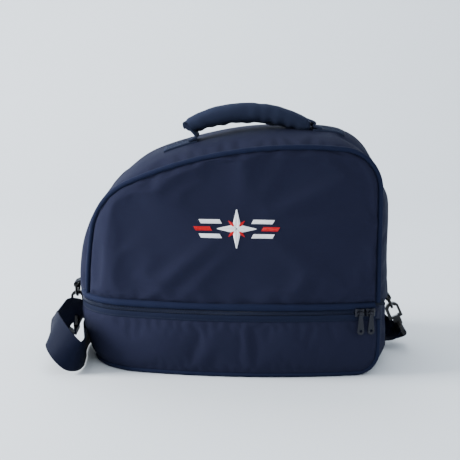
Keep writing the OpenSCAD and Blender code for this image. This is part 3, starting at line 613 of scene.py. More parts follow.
# %% Boxing
BOXING_ROWS, BOXING_ACROSS = 190, 42
SHOULDER_AT, SHOULDER_SPAN = 130 * MM, 100 * MM
line = sample(arch(0, ZIP_Z + 0.4 * MM), np.linspace(0, 1, BOXING_ROWS))
line[:, 2:] = unit(line[:, 2:])
run = lengths(line)[:, None]
low, high = boxing_edges(line[:, :1])
y = low - 1.6 * MM + (high - low + 2.2 * MM) * crowd(BOXING_ACROSS, 0.5)
edge = np.minimum(y - low, high - y)
lift = boxing_lift(line, y)
turning = 1 - reached(np.abs(run - SHOULDER_AT), SHOULDER_SPAN)
lift += tuck(edge, 1.5 * MM, 7 * MM) + groove(edge, 1.2 * MM) + 1.0 * MM * reached(edge, 20 * MM)
lift += (ripple(run, 5, 40 * MM, 12 * MM) * np.exp(-np.abs(edge) / (9 * MM))
         * reached(edge, MM) * (0.35 + 0.7 * turning) * MM)
lift += waves(spots(run, y), 6, 160 * MM, 60 * MM) * 0.6 * MM
seat, out3 = spots(line[:, :1], y, line[:, 1:2]), outward(line)[:, None]
under = boxing_lift(line, y) - PANEL_T
boxing = padded_skin("boxing_cloth", (seat + out3 * lift[..., None])[:, ::-1],
                     (seat + out3 * under[..., None])[:, ::-1], shell_cloth, lining_cloth)
print("boxing:", len(boxing.data.polygons), "faces,", round(float(run[-1, 0]), 3), "m long")

# %% [markdown]
# ## Tray
# The tray's wall is one long padded panel round the front, the leaning tip and the back. A
# second panel closes the square end, bowed above and turned under at its foot.

# %% Rim of the tray
def rim(inset, tip):
    """x, y and foot height from the square end's foot along the front to the tip and back."""
    r = tip_radius(tip)
    c, a = tip + r, math.asin(tip_sine(tip))
    x0 = END - FOOT_R
    turn = np.radians(np.linspace(0, 75, 9))
    corner_x = x0 + FOOT_R * np.cos(turn)
    corner = spots(corner_x, -half_depth(corner_x, inset, tip),
                   WALL_FOOT + FOOT_R * (1 - np.sin(turn)))
    w = np.linspace(math.asin((x0 - face_x) / (FACE_R - inset)), -a, 96)
    face = spots(face_x + (FACE_R - inset) * np.sin(w), face_y - (FACE_R - inset) * np.cos(w),
                 WALL_FOOT)
    w = np.linspace(-a, -math.pi / 2, 26)[1:]
    nose = spots(c + (r - inset) * np.sin(w), -TIP_FLAT - (r - inset) * np.cos(w), WALL_FOOT)
    flat = spots(tip + inset, np.linspace(-TIP_FLAT, 0, 6)[1:], WALL_FOOT)
    half = np.concatenate([corner, face, nose, flat])
    return np.concatenate([half, half[-2::-1] * [1, -1, 1]])


print("rim of", len(rim(0, TIP)), "points")

# %% Tray wall
WALL_ACROSS = 24
WALL_CREASES = (((14, 70), (20, 8), 1.7, 6), ((-82, 70), (-76, 5), 1.8, 30),
                ((45, 72), (90, 10), 1.2, 12), ((-14, 60), (-40, 5), 1.2, 9))
foot_line, top_line = rim(0, TIP + TIP_LEAN), rim(0, TIP)
top_line[:, 2] = WALL_TOP
ups = crowd(WALL_ACROSS, 0.55)
wall = foot_line[:, None] * (1 - ups[:, None]) + top_line[:, None] * ups[:, None]
facing = unit(np.cross(np.gradient(wall, axis=0), np.gradient(wall, axis=1)))
facing *= np.sign((facing[..., :2] * wall[..., :2]).sum(2, keepdims=True))
height = np.linalg.norm(top_line - foot_line, axis=1)[:, None]
run = lengths(top_line, 3)[:, None]
from_foot, from_top = ups * height, (1 - ups) * height
ends = np.minimum(run, run[-1] - run)
reach = np.minimum(np.minimum(from_foot, from_top), ends)
lift = (tuck(from_foot, 1.6 * MM, 9 * MM) + tuck(from_top, 1.2 * MM, 6 * MM)
        + tuck(ends, 2.0 * MM, 8 * MM) + 2.2 * MM * np.sin(math.pi * ups) ** 0.8
        + ripple(run, 31, 36 * MM, 12 * MM) * np.exp(-reach / (8 * MM)) * 0.2 * MM
        + waves(spots(run, from_foot), 32, 170 * MM, 70 * MM) * 0.6 * MM
        * reached(reach, 15 * MM))
for fold in WALL_CREASES:
    lift = lift + (crease(wall[..., 0], wall[..., 2], *fold)
                   * reached(reach, 10 * MM) * (np.abs(wall[..., 1]) > 50 * MM))
tray_wall = padded_skin("tray_wall_cloth", wall + facing * lift[..., None],
                        wall - facing * (PANEL_T - 0.5 * MM), shell_cloth, lining_cloth)
print("tray wall:", len(tray_wall.data.polygons), "faces,", round(float(run[-1, 0]), 3), "m round")

# %% End wall
END_TOP, END_ACROSS = ZIP_Z - 0.4 * MM, 36
profile = np.concatenate([
    spots(END, np.linspace(END_TOP, FOOT_R, 22), 1, 0),
    arc((END - FOOT_R, FOOT_R), FOOT_R, 0, -math.pi / 2, 1.5 * MM)[1:]])
half = half_depth(profile[:, :1], PANEL_T + SEAM)
t = np.linspace(-1, 1, END_ACROSS)
t = np.sign(t) * np.abs(t) ** 0.85
y = half * t
run = lengths(profile)[:, None]
bow = END_BOW * profile[:, 2:3] ** 3 * (1 - t ** 2)
edge = half * (1 - np.abs(t))
lift = (bow + tuck(edge, 1.6 * MM, 7 * MM) + tuck(run, 1.2 * MM, 5 * MM)
        + ripple(run, 41, 30 * MM, 11 * MM) * np.exp(-edge / (8 * MM)) * 0.35 * MM
        + waves(spots(run, y), 42, 120 * MM, 50 * MM) * 0.5 * MM * reached(edge, 15 * MM))
seat, out3 = spots(profile[:, :1], y, profile[:, 1:2]), outward(profile)[:, None]
end_wall = padded_skin("tray_end_cloth", seat + out3 * lift[..., None],
                       seat + out3 * (bow - PANEL_T)[..., None], shell_cloth, lining_cloth)
print("end wall:", len(end_wall.data.polygons), "faces")

# %% [markdown]
# ## Settling the padded panels
# Each panel's outer cloth is cut slightly larger than its place, and the foam under it
# pushes outwards. A cloth simulation finds the shape where both balance: the seams and the
# lining stay put, and the spare cloth lies down in soft folds. How far a point may move is
# capped, so that the panels stay clear of their neighbours.

# %% Cloth simulation
CLOTH = {"quality": 5, "mass": 0.2, "tension_stiffness": 12, "compression_stiffness": 12,
         "shear_stiffness": 4, "bending_stiffness": 1.2, "use_pressure": True,
         "vertex_group_mass": "sewn"}
STEPS, FLOOR_GAP = 20, 0.2 * MM


def sewn_weights(rows, across):
    """1 where a panel's skin is held (its lining and its seams), falling to 0 two rows in."""
    i, j = (np.minimum(np.arange(n), np.arange(n)[::-1]) for n in (rows, across))
    outer = np.clip(1 - np.minimum(i[:, None], j) / 2, 0, 1) ** 2
    return np.concatenate([outer, np.ones((rows, across))], 1).ravel()


def places(mesh):
    flat = np.empty(len(mesh.vertices) * 3, np.float32)
    mesh.vertices.foreach_get("co", flat)
    return flat.reshape(-1, 3)


def settle(pieces):
    """Runs Cloth on (piece, rows, across, pressure, spare cloth, cap) and keeps what it finds."""
    for piece, rows, across, pressure, spare, _ in pieces:
        weights = sewn_weights(rows, across)
        sewn = piece.vertex_groups.new(name="sewn")
        for weight in np.unique(weights[weights > 0]):
            sewn.add(np.flatnonzero(weights == weight).tolist(), float(weight), "REPLACE")
        cloth = piece.modifiers.new("cloth", "CLOTH")
        for key, value in CLOTH.items():
            setattr(cloth.settings, key, value)
        cloth.settings.uniform_pressure_force = pressure
        cloth.settings.shrink_min = -spare
        cloth.settings.effector_weights.gravity = 0
        cloth.collision_settings.use_collision = False
        cloth.point_cache.frame_end = STEPS
    for step in range(1, STEPS + 1):
        bpy.context.scene.frame_set(step)
    settled = bpy.context.evaluated_depsgraph_get()
    for piece, _, _, _, _, cap in pieces:
        before, after = places(piece.data), places(piece.evaluated_get(settled).data)
        move = after - before
        size = np.maximum(np.linalg.norm(move, axis=1, keepdims=True), 1e-9)
        after = before + move / size * cap * np.tanh(size / cap)
        after[:, 2] = np.maximum(after[:, 2], FLOOR_GAP)
        piece.data.vertices.foreach_set("co", after.ravel())
        piece.data.update()
        print(piece.name, "moved up to", round(float(size.max()) / MM, 2), "mm")
    for piece, *_ in pieces:
        piece.modifiers.clear()
        piece.vertex_groups.clear()
    bpy.context.scene.frame_set(1)


settle([(front, FACE_ROWS, FACE_ACROSS, 1.5, 0.008, 5 * MM),
        (door, FACE_ROWS, FACE_ACROSS, 1.5, 0.008, 5 * MM),
        (boxing, BOXING_ROWS, BOXING_ACROSS, 4, 0.015, 5 * MM),
        (tray_wall, len(wall), WALL_ACROSS, 4, 0.010, 4 * MM),
        (end_wall, len(profile), END_ACROSS, 4, 0.015, 4 * MM)])

# %% [markdown]
# ## Piping
# A cord in a folded strip of cloth is trapped in each seam. It is a round tube that follows
# the seam a little outside the arch, so that a dark groove stays on both sides of it.

# %% Tubes along a line
CORD_STEP = 2.4 * MM


def tube_rings(path, radius, around, start=(0, 1, 0)):
    """Round cross-sections along a path, turned as little as possible from start."""
    path = np.asarray(path, float)
    ahead = unit(np.gradient(path, axis=0))
    side = np.array(start if abs(np.dot(start, ahead[0])) <= 0.9 else (1, 0, 0), float)
    sides = []
    for t in ahead:
        side = unit(side - (side @ t) * t)
        sides.append(side)
    sides = np.array(sides)
    a = np.linspace(0, TAU, around, endpoint=False)[None, :, None]
    radius = np.broadcast_to(radius, len(path))[:, None, None]
    return path[:, None] + radius * (np.cos(a) * sides[:, None]
                                     + np.sin(a) * np.cross(ahead, sides)[:, None])


def even(path):
    """The path again, with its points CORD_STEP apart."""
    return sample(path, np.linspace(0, 1, int(lengths(path, 3)[-1] / CORD_STEP)), 3)


print("tube helpers ready")

# %% Seam piping
PIPING_OUT = PIPING_R - 1.0 * MM
FOOT_INSET = PIPING_R + 0.15 * MM


def seam_path(side):
    line = arch(-PIPING_OUT)
    x = np.minimum(line[:, 0] - line[:, 2] * PIPING_OUT, END)
    return even(spots(line[:, 0], side * half_depth(x, PANEL_T / 2 + 0.5 * MM), line[:, 1]))


def piping(name, path, seed):
    radius = PIPING_R * (1 + 0.035 * ripple(lengths(path, 3), seed, 30 * MM, 7 * MM))
    return loft(name, tube_rings(path, radius, 12), trim_cloth)


def foot_path():
    """Down the square end's front seam, round the foot, and up its back seam."""
    foot = rim(FOOT_INSET, TIP + TIP_LEAN)
    foot = foot[foot[:, 2] < WALL_FOOT + 0.01 * MM]
    foot[:, 2] = WALL_FOOT - PIPING_OUT
    turn = np.radians(np.linspace(0, -84, 16))
    down = np.concatenate([
        [[END + PIPING_OUT, WALL_TOP], [END + PIPING_OUT, WALL_FOOT + FOOT_R + 8 * MM]],
        spots(END - FOOT_R + (FOOT_R + PIPING_OUT) * np.cos(turn),
              WALL_FOOT + FOOT_R + (FOOT_R + PIPING_OUT) * np.sin(turn))])
    corner = spots(down[:, 0], -half_depth(np.minimum(down[:, 0], END), FOOT_INSET), down[:, 1])
    return even(np.concatenate([corner, foot, corner[::-1] * [1, -1, 1]]))


front_piping = piping("front_piping_cloth", seam_path(-1), 51)
door_piping = piping("door_piping_cloth", seam_path(1), 52)
tray_piping = piping("tray_piping_cloth", foot_path(), 53)
print("piping:", [len(p.data.polygons) for p in (front_piping, door_piping, tray_piping)])

# %% [markdown]
# ## Floors inside
# The base hangs flat under the tray, a stiff board keeps it level, and a padded divider is
# both the shell's floor and the tray's lid.

# %% Base, board and divider
SLAB_ACROSS = 40


def plan_outline(inset, tip, end, count=150):
    """x and y round the front half of the plan, from the square end to the tip."""
    line = rim(inset, tip)
    half = line[:len(line) // 2 + 1, :2]
    half = half[half[:, 0] < end - 0.5 * MM]
    return sample(np.concatenate([[[end, -float(half_depth(end, inset, tip))]], half]),
                  np.linspace(0, 1, count))


def slab(name, inset, tip, end, foot, top, finish, lining, sag, seed, soft=2 * MM):
    """A flat padded piece across the body, from foot to top, sagging a little."""
    outline = plan_outline(inset, tip, end)
    x, rim_y = outline[:, :1], outline[:, 1:2]
    y = rim_y * (1 - 2 * crowd(SLAB_ACROSS, 0.5))
    edge = np.minimum(np.abs(rim_y) - np.abs(y), np.minimum(end - x, x - outline[-1, 0]))
    edge = np.clip(edge, 0, 1)
    lift = (waves(spots(x, y), seed, 160 * MM, 60 * MM) * sag * reached(edge, 20 * MM)
            + tuck(edge, soft * 0.4, 8 * MM))
    return padded_skin(name, spots(x, y, top + lift),
                       spots(x, y, foot - tuck(edge, soft * 0.3, 8 * MM)), finish, lining)


BASE_END = END - FOOT_R - SEAM
base_low, base_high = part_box("base_panel")
board_low, board_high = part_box("base_board")
divider_low, divider_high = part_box("divider")
base = slab("tray_base_cloth", 5 * MM, TIP + TIP_LEAN, BASE_END, base_low.z + 0.3 * MM,
            base_high.z, lining_cloth, shell_cloth, 0, 61, 1.5 * MM)
board = slab("base_board_cover", PANEL_T + 4 * MM, TIP + TIP_LEAN, BASE_END - 4 * MM,
             board_low.z, board_high.z, lining_cloth, black_nylon, 0.3 * MM, 62)
divider = slab("divider_cloth", 3.3 * MM, TIP, divider_high.x - 0.3 * MM, divider_low.z,
               divider_high.z, lining_cloth, lining_cloth, 0.4 * MM, 63)
print("floors:", base.name, board.name, divider.name)

# %% [markdown]
# ## The long zip
# Above the chain the cloth is rolled over the tape's edge, so that a bright fold catches
# the light. Below it the tape lies flat. Between them run two rows of nylon coils, each row
# a helix whose loops fall between the loops of the other. One row stays with the tray.

# %% Bands round the plan
BAND_INSET = 1.2 * MM


def plan_band(inset, count=330):
    """Points and outward directions round the plan at the chain's height."""
    outline = plan_outline(inset, TIP, END - 2 * MM, count // 2)
    whole = np.concatenate([outline, outline[-2::-1] * [1, -1]])
    ahead = np.gradient(whole, axis=0)
    out = unit(spots(ahead[:, 1], -ahead[:, 0]))
    return whole, out * np.sign((out * (whole - [30 * MM, 0])).sum(1, keepdims=True))


def band(name, section, finish, seed, unevenness):
    """A strip round the plan; section is a list of (outward, height) in metres."""
    whole, out = plan_band(BAND_INSET)
    section = np.asarray(section)
    centre = section.mean(0)
    swell = 1 + unevenness * ripple(lengths(whole), seed, 45 * MM, 14 * MM)
    local = centre + (section - centre) * swell[:, None, None]
    return loft(name, np.concatenate([whole[:, None] + out[:, None] * local[..., :1],
                                      local[..., 1:]], 2), finish)


roll_foot, roll_top = ZIP_Z + 2.6 * MM, PANEL_Z + 0.6 * MM
roll_mid, roll_half = (roll_foot + roll_top) / 2, (roll_top - roll_foot) / 2
turn = np.linspace(-math.pi / 2, math.pi / 2, 9)
roll = np.concatenate([
    spots(3.4 * MM * np.cos(turn) - 1.6 * MM, roll_mid + roll_half * np.sin(turn)),
    spots(-2.2 * MM, [roll_top - 0.3 * MM, roll_mid + MM, roll_mid, roll_mid - MM,
                      roll_foot + 0.3 * MM])])
tape_roll = band("zip_roll_cloth", roll, trim_cloth, 71, 0.05)
tape_foot, tape_top = WALL_TOP + 0.1 * MM, ZIP_Z - 2.6 * MM
flat = [(0.4 * MM, tape_foot), (0.7 * MM, tape_foot + 1.2 * MM), (0.5 * MM, tape_foot + 1.5 * MM),
        (0.7 * MM, tape_foot + 1.8 * MM), (0.4 * MM, tape_top), (-1.4 * MM, tape_top),
        (-1.4 * MM, (tape_top + tape_foot) / 2), (-1.4 * MM, tape_foot)]
tape_lower = band("zip_tape_lower", flat, zip_tape, 72, 0.03)
print("bands:", len(tape_roll.data.polygons), len(tape_lower.data.polygons))

# %% Rows of coils
COIL_PITCH, COIL_WIRE, COIL_DEEP = 1.9 * MM, 0.36 * MM, 2.0 * MM


def coil_row(name, middle, out, across, near, far, offset):
    """A row of loops: each starts at far, comes to near in the chain's middle and goes back.

    middle, out and across are the chain's points and unit vectors; near and far are
    distances along across."""
    s = lengths(middle, 3)
    turn = np.linspace(0, TAU, 7)
    reach = (near + far) / 2 + (near - far) / 2 * np.cos(turn)
    stations = np.arange(0.5 + offset, s[-1] / COIL_PITCH - 0.5) * COIL_PITCH
    m, o, c = (between(stations, s, q) for q in (middle, out, across))
    ahead = np.cross(o, c)
    parts = []
    for k in range(len(stations)):
        path = (m[k] + np.outer(reach, c[k]) + np.outer(COIL_DEEP / 2 * np.sin(turn), o[k])
                + np.outer((turn / TAU - 0.5) * COIL_PITCH, ahead[k]))
        parts.append(loft_parts(tube_rings(path, COIL_WIRE, 4), capped=False))
    return joined(name, parts, coil_nylon)


whole, out = plan_band(2.0 * MM)
middle, out3 = spots(*whole.T, ZIP_Z), spots(*out.T, 0)
up3 = np.tile([0.0, 0, 1], (len(out), 1))
coil_lower = coil_row("lower_coils_tray", middle, out3, up3, 0.35 * MM, -2.5 * MM, 0)
coil_upper = coil_row("lower_coils_shell", middle, out3, up3, -0.35 * MM, 2.5 * MM, 0.5)
print("coils:", len(coil_lower.data.polygons) + len(coil_upper.data.polygons), "faces")

# %% [markdown]
# ## The door's zip
# It lies in the boxing, just in front of the door's piping, from the tip over the crown to
# the foot of the square end. One tape and row of coils stays with the shell.

# %% Door zip
TAPE, COIL_W, TAPE_T, TAPE_LIFT = 4.1 * MM, 2.3 * MM, 1.2 * MM, -0.2 * MM
line = sample(arch(), np.linspace(0, 1, 260))
line[:, 2:] = unit(line[:, 2:])
out3 = outward(line)
back_edge = half_depth(line[:, 0], PANEL_T + SEAM)


def off_arch(y, up):
    """Points at depths y, standing out of the arch by up."""
    return spots(line[:, 0], y, line[:, 1]) + out3 * up


def zip_strip(name, start, stop):
    """A flat tape from start to stop, metres forward of the door's inner face."""
    y0, y1 = back_edge - start, back_edge - stop
    mid, under = (y0 + y1) / 2, TAPE_LIFT - TAPE_T
    section = ((y0, under), (mid, under), (y1, under),
               (y1, TAPE_LIFT), (mid, TAPE_LIFT + 0.25 * MM), (y0, TAPE_LIFT))
    return loft(name, np.stack([off_arch(y, up) for y, up in section], 1), zip_tape)


door_tape = zip_strip("door_zip_tape", TAPE + 0.1 * MM, -1.5 * MM)
fixed_tape = zip_strip("door_zip_tape_fixed", DOOR_ZIP_W + MM, TAPE + 2 * COIL_W + 0.8 * MM)
middle = off_arch(back_edge - (TAPE + COIL_W + 0.45 * MM), -0.5 * MM)
back3 = np.tile([0.0, 1, 0], (len(line), 1))
door_coils = coil_row("door_coils", middle, out3, back3, -0.35 * MM, 2.4 * MM, 0)
fixed_coils = coil_row("door_coils_fixed", middle, out3, back3, 0.35 * MM, -2.4 * MM, 0.5)
print("door zip:", len(door_coils.data.polygons) + len(fixed_coils.data.polygons), "faces")

# %% [markdown]
# ## Handle
# A foam-filled sleeve is wrapped round a strip of webbing, and its lower seam gathers the
# cloth into a scalloped flap. The webbing leaves the sleeve's ends, folds down to the crown
# and is sewn flat outwards on both sides.

# %% Points on sewn surfaces
def surface_of(piece):
    """A piece's faces, ready to be hit by rays."""
    mesh = piece.data
    return BVHTree.FromPolygons([v.co for v in mesh.vertices],
                                [list(p.vertices) for p in mesh.polygons])


def hit(tree, origin, heading):
    """Where a ray meets a surface, and the normal there that faces the ray."""
    place, normal, _, _ = tree.ray_cast(Vector(origin), Vector(heading))
    if normal.dot(Vector(heading)) > 0:
        normal = -normal
    return np.array(place), np.array(normal)


HANDLE_X, HANDLE_Y = 18 * MM, -40 * MM
boxing_tree = surface_of(boxing)


def crest(x, y=HANDLE_Y):
    return hit(boxing_tree, (x, y, 1), (0, 0, -1))


foot_left, foot_right = -43 * MM, 95 * MM
left_z, right_z = (float(crest(x)[0][2]) / MM for x in (foot_left, foot_right))
print("crest at the feet:", round(left_z, 1), "and", round(right_z, 1), "mm")

# %% Ribbons
WEB, WEB_T = 25 * MM, 1.5 * MM


def ribbon_rings(middle, width, thick, over=(0, 1, 0)):
    """Cross-sections of flat webbing; over points across its width."""
    ahead = unit(np.gradient(middle, axis=0))
    over = np.asarray(over, float)
    over = unit(over - (over * ahead).sum(1, keepdims=True) * ahead)
    across = np.array([-1, -0.985, -0.5, 0, 0.5, 0.985, 1])[:, None]
    face = np.array([0.35, 0.9, 1, 1, 1, 0.9, 0.35])[:, None]
    row = middle[:, None] + over[:, None] * across * width / 2
    ply = np.cross(over, ahead)[:, None] * (face * thick / 2)
    return np.concatenate([(row + ply)[:, ::-1], row - ply], 1)


def curve_through(points, fineness):
    """A smooth line through points, fineness steps between two of them (Catmull-Rom)."""
    p = np.asarray(points, float)
    p = np.concatenate([p[:1], p, p[-1:]])
    u = np.linspace(0, 1, fineness, endpoint=False)[:, None]
    made = [0.5 * (2 * b + (c - a) * u + (2 * a - 5 * b + 4 * c - d) * u ** 2
                   + (3 * b - a - 3 * c + d) * u ** 3)
            for a, b, c, d in zip(p, p[1:], p[2:], p[3:])]
    return np.concatenate(made + [p[-1:]])


print("ribbon helpers ready")

# %% Sleeve of the handle
WEB_HALF, WEB_RISE, GRIP_HALF = 73 * MM, 17 * MM, 72.5 * MM
GRIP_R = (WEB_HALF ** 2 + WEB_RISE ** 2) / (2 * WEB_RISE)
GRIP_TURN = math.asin(GRIP_HALF / GRIP_R)
GRIP_ROWS, GRIP_AROUND, SQUARENESS, DROOP = 110, 40, 0.82, 1.2 * MM
grip_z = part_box("handle_grip")[1].z - 10.9 * MM - GRIP_R


def on_grip(angle, radius, y=HANDLE_Y):
    """Points on arcs about the centre of the grip's bow."""
    return spots(HANDLE_X + radius * np.sin(angle), y, grip_z + radius * np.cos(angle))


def squared(wave):
    """A sine or cosine of an oval drawn a little towards a rectangle."""
    return np.sign(wave) * np.abs(wave) ** SQUARENESS


swing = np.linspace(-1, 1, GRIP_ROWS)[:, None]
angle = swing * GRIP_TURN
a = np.linspace(0, TAU, GRIP_AROUND, endpoint=False)
end_close = np.clip((1 - np.abs(swing)) / 0.085, 0, 1) ** 0.5
thick = (21.4 - 6.5 * np.abs(swing) ** 2.5) * MM * (0.42 + 0.58 * end_close)
wide = (27 - 1.5 * swing ** 2) * MM * (0.72 + 0.28 * end_close)
gather = ripple(angle * GRIP_R, 81, 17 * MM, 8 * MM, 5)
soft = waves(spots(angle * GRIP_R, a * 11 * MM), 82, 34 * MM, 10 * MM)
low_side = np.clip(-np.sin(a), 0, 1) ** 1.5
swell = 1 + (gather * 0.045 * (0.06 + low_side) + soft * 0.018) * end_close
side = squared(np.cos(a)) * wide / 2 * swell
lift = squared(np.sin(a)) * thick / 2 * swell - DROOP * swing ** 2
grip = loft("grip_sleeve_cloth", on_grip(angle, GRIP_R + lift, HANDLE_Y + side), grip_cloth)
print("sleeve:", len(grip.data.polygons), "faces")

# %% Gathered flap and foam core
flap_s = np.linspace(-0.90, 0.90, 130)
flap_a = flap_s * GRIP_TURN
under = np.interp(flap_s, swing[:, 0], thick[:, 0] / 2) - 1.7 * MM
scallop = 3.0 * MM + 1.1 * MM * ripple(flap_a * GRIP_R, 83, 15 * MM, 9 * MM, 4)
sway = 0.9 * MM * ripple(flap_a * GRIP_R, 84, 16 * MM, 9 * MM, 4)
flap = {}
for depth, width in ((0, 2.0), (0.5, 1.5), (1, 0.7)):
    r = GRIP_R - under - DROOP * flap_s ** 2 - (scallop + 0.8 * MM) * depth
    for side in (1, -1):
        flap[side, depth] = on_grip(flap_a, r, HANDLE_Y + MM + sway * depth
                                    + side * width / 2 * MM)
round_flap = [(1, 0), (1, 0.5), (1, 1), (-1, 1), (-1, 0.5), (-1, 0)]
# The flap takes the darker lining cloth rather than the sleeve's grip cloth: painted shade under
# the sleeve.
grip_flap = loft("grip_gathered_flap", np.stack([flap[key] for key in round_flap], 1),
                 lining_cloth)
core_a = np.linspace(-1, 1, 60) * math.asin((GRIP_HALF - 2.5 * MM) / GRIP_R)
core_mid = on_grip(core_a, GRIP_R)
core_mid[:, 2] -= 0.8 * MM * np.cos(core_a)
core = loft("grip_foam_core", ribbon_rings(core_mid, 18 * MM, 2.6 * MM), foam)
print("flap:", len(grip_flap.data.polygons), "faces; core:", len(core.data.polygons))

# %% Legs of the handle
def leg(name, points, twist):
    """Doubled webbing through points (x, z in mm), turned by twist degrees midway."""
    path = curve_through(np.asarray(points) * MM, 7)
    turned = np.radians(twist) * np.sin(math.pi * np.linspace(0, 1, len(path))) ** 1.5
    return loft(name, ribbon_rings(spots(path[:, 0], HANDLE_Y, path[:, 1]), WEB, 1.7 * WEB_T,
                                   spots(np.sin(turned), np.cos(turned), 0)), grip_cloth)


LEG_MEETS = 66 * MM
left_x, right_x = (HANDLE_X - WEB_HALF) / MM, (HANDLE_X + WEB_HALF) / MM
web_z = (grip_z + math.sqrt(GRIP_R ** 2 - LEG_MEETS ** 2)) / MM
leg_left = leg("handle_leg_left", [
    (-50, left_z + 0.4), (-44, left_z + 3.2), (-41.2, left_z + 4.6), (-40.8, left_z + 6.6),
    (-42.4, left_z + 9.5), (-46, left_z + 13.5), (-51.5, left_z + 18),
    (left_x + 0.4, left_z + 21.5), (left_x + 1.0, web_z - 4), (left_x + 4.5, web_z - 1),
    (left_x + 12, web_z + 1.6)], 9)
leg_right = leg("handle_leg_right", [
    (104, right_z + 1.0), (98, right_z + 2.6), (94.6, right_z + 3.4), (93.4, right_z + 5),
    (94.4, right_z + 8), (right_x - 2.8, right_z + 10), (right_x - 5, web_z - 2.5),
    (right_x - 8, web_z - 0.8), (right_x - 14, web_z + 1.6)], -7)
print("legs from", round(left_z), "and", round(right_z), "up to", round(web_z), "mm")

# %% Tails sewn on the crown
TAIL_T, TAIL_ROWS = 2.0 * MM, 26
TAIL_Y = HANDLE_Y + np.array([-12.5, -12.2, -8, -4, 0, 4, 8, 12.2, 12.5]) * MM


def tail(name, x0, x1):
    """Webbing sewn flat on the crown, thinner along its edges."""
    xs = np.linspace(x0, x1, TAIL_ROWS)
    grid = np.array([[np.concatenate(crest(x, y)) for y in TAIL_Y] for x in xs])
    face = np.ones((TAIL_ROWS, len(TAIL_Y), 1))
    face[:, [0, -1]] *= 0.5
    face[[0, -1]] *= 0.5
    return padded_skin(name, grid[..., :3] + grid[..., 3:] * TAIL_T * face,
                       grid[..., :3] + grid[..., 3:] * 0.1 * MM, grip_cloth, grip_cloth)


tail_left = tail("handle_tail_cloth_left", foot_left - 36 * MM, foot_left + 2.5 * MM)
tail_right = tail("handle_tail_cloth_right", foot_right - 1.5 * MM, foot_right + 34 * MM)
print("tails:", len(tail_left.data.polygons), "faces each")

# %% [markdown]
# ## Rings, tabs and the shoulder strap
# Each tab is a loop of webbing round a ring's bar. The strap is one long flat band, clipped
# on at both sides: it loops forward of the tip, stands along the tray, and lies folded in
# three behind it. Near each joint it is its own piece.

# %% Tab loops
TAB_W, LOOP_R = 24 * MM, 2.9 * MM
left_low, left_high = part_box("ring_left")
SIDE_Y = (left_low.y + left_high.y) / 2
bar_left = np.array([(left_low.x + left_high.x) / 2, SIDE_Y, left_high.z - 1.75 * MM])
bar_right = np.array([END + END_BOW + 9 * MM, SIDE_Y, ZIP_Z - 12 * MM])


def tab_loop(name, bar, top, tucked):
    """Two plies of webbing from the seam at top round the bar, tucked inwards there (mm)."""
    start = math.atan2(top[1] - bar[2], top[0] - bar[0])
    a = np.linspace(start + math.radians(95), start + math.radians(265), 14)
    curl = spots(bar[0] + LOOP_R * np.cos(a), bar[2] + LOOP_R * np.sin(a))
    aside = np.array([-math.sin(start), math.cos(start)]) * 0.85 * MM
    first, last, inwards = np.array(top) + aside, np.array(top) - aside, np.array(tucked) * MM
    path = curve_through(np.concatenate([[first + inwards, first], curl,
                                         [last, last + inwards]]), 5)
    return loft(name, ribbon_rings(spots(path[:, 0], SIDE_Y, path[:, 1]), TAB_W, WEB_T), dark_web)


bow_at_tab = END + END_BOW * (1 - (SIDE_Y / END_HALF) ** 2)
tab_left = tab_loop("tab_webbing_left", bar_left, (TIP - 1.6 * MM, PANEL_Z + 2 * MM), (1.2, 5))
tab_right = tab_loop("tab_webbing_right", bar_right,
                     (bow_at_tab + 2.6 * MM, END_TOP - 2.5 * MM), (-3.5, 1))
print("tabs at", [round(float(b), 4) for b in bar_left], [round(float(b), 4) for b in bar_right])

# %% Strap route
STRAP_W, STRAP_T = 38 * MM, 1.7 * MM
PLY, LAY, STAND = 3.2, 1.5, 19.6
MID_LAY, TOP_LAY = LAY + PLY, LAY + 2 * PLY
RING_H, SLOT, HOOK_LEAN = 15, 31.5, math.radians(24)
lean_x, lean_z = math.cos(HOOK_LEAN), math.sin(HOOK_LEAN)
tip, end, behind, side_y = TIP / MM, END / MM, DEPTH / MM / 2 + 26, SIDE_Y / MM
eye_x, eye_z = bar_left[0] / MM, bar_left[2] / MM - RING_H - SLOT


def left_end(x, z):
    """A point x and z from the left eye's bar; here and below, all in millimetres."""
    return (eye_x + x, side_y, eye_z + z)


def right_end(x, z):
    """The same for the right eye, whose hook leans."""
    drop = x - RING_H - SLOT
    return (bar_right[0] / MM + z * lean_x - drop * lean_z, side_y,
            bar_right[2] / MM + z * lean_z + drop * lean_x)


def flat_run(xs, y, z):
    """Stations of the strap lying flat at each of xs."""
    return [(x, y, z, 0, 1, 0) for x in xs]


def turn_back(x, y, z, way):
    """The strap turning under itself; way is +1 or -1 along x."""
    return [(x + way * math.cos(b) * PLY / 2, y, z - PLY / 2 * (1 + math.sin(b)), 0, 1, 0)
            for b in np.radians([-90, -45, 0, 45, 90])]


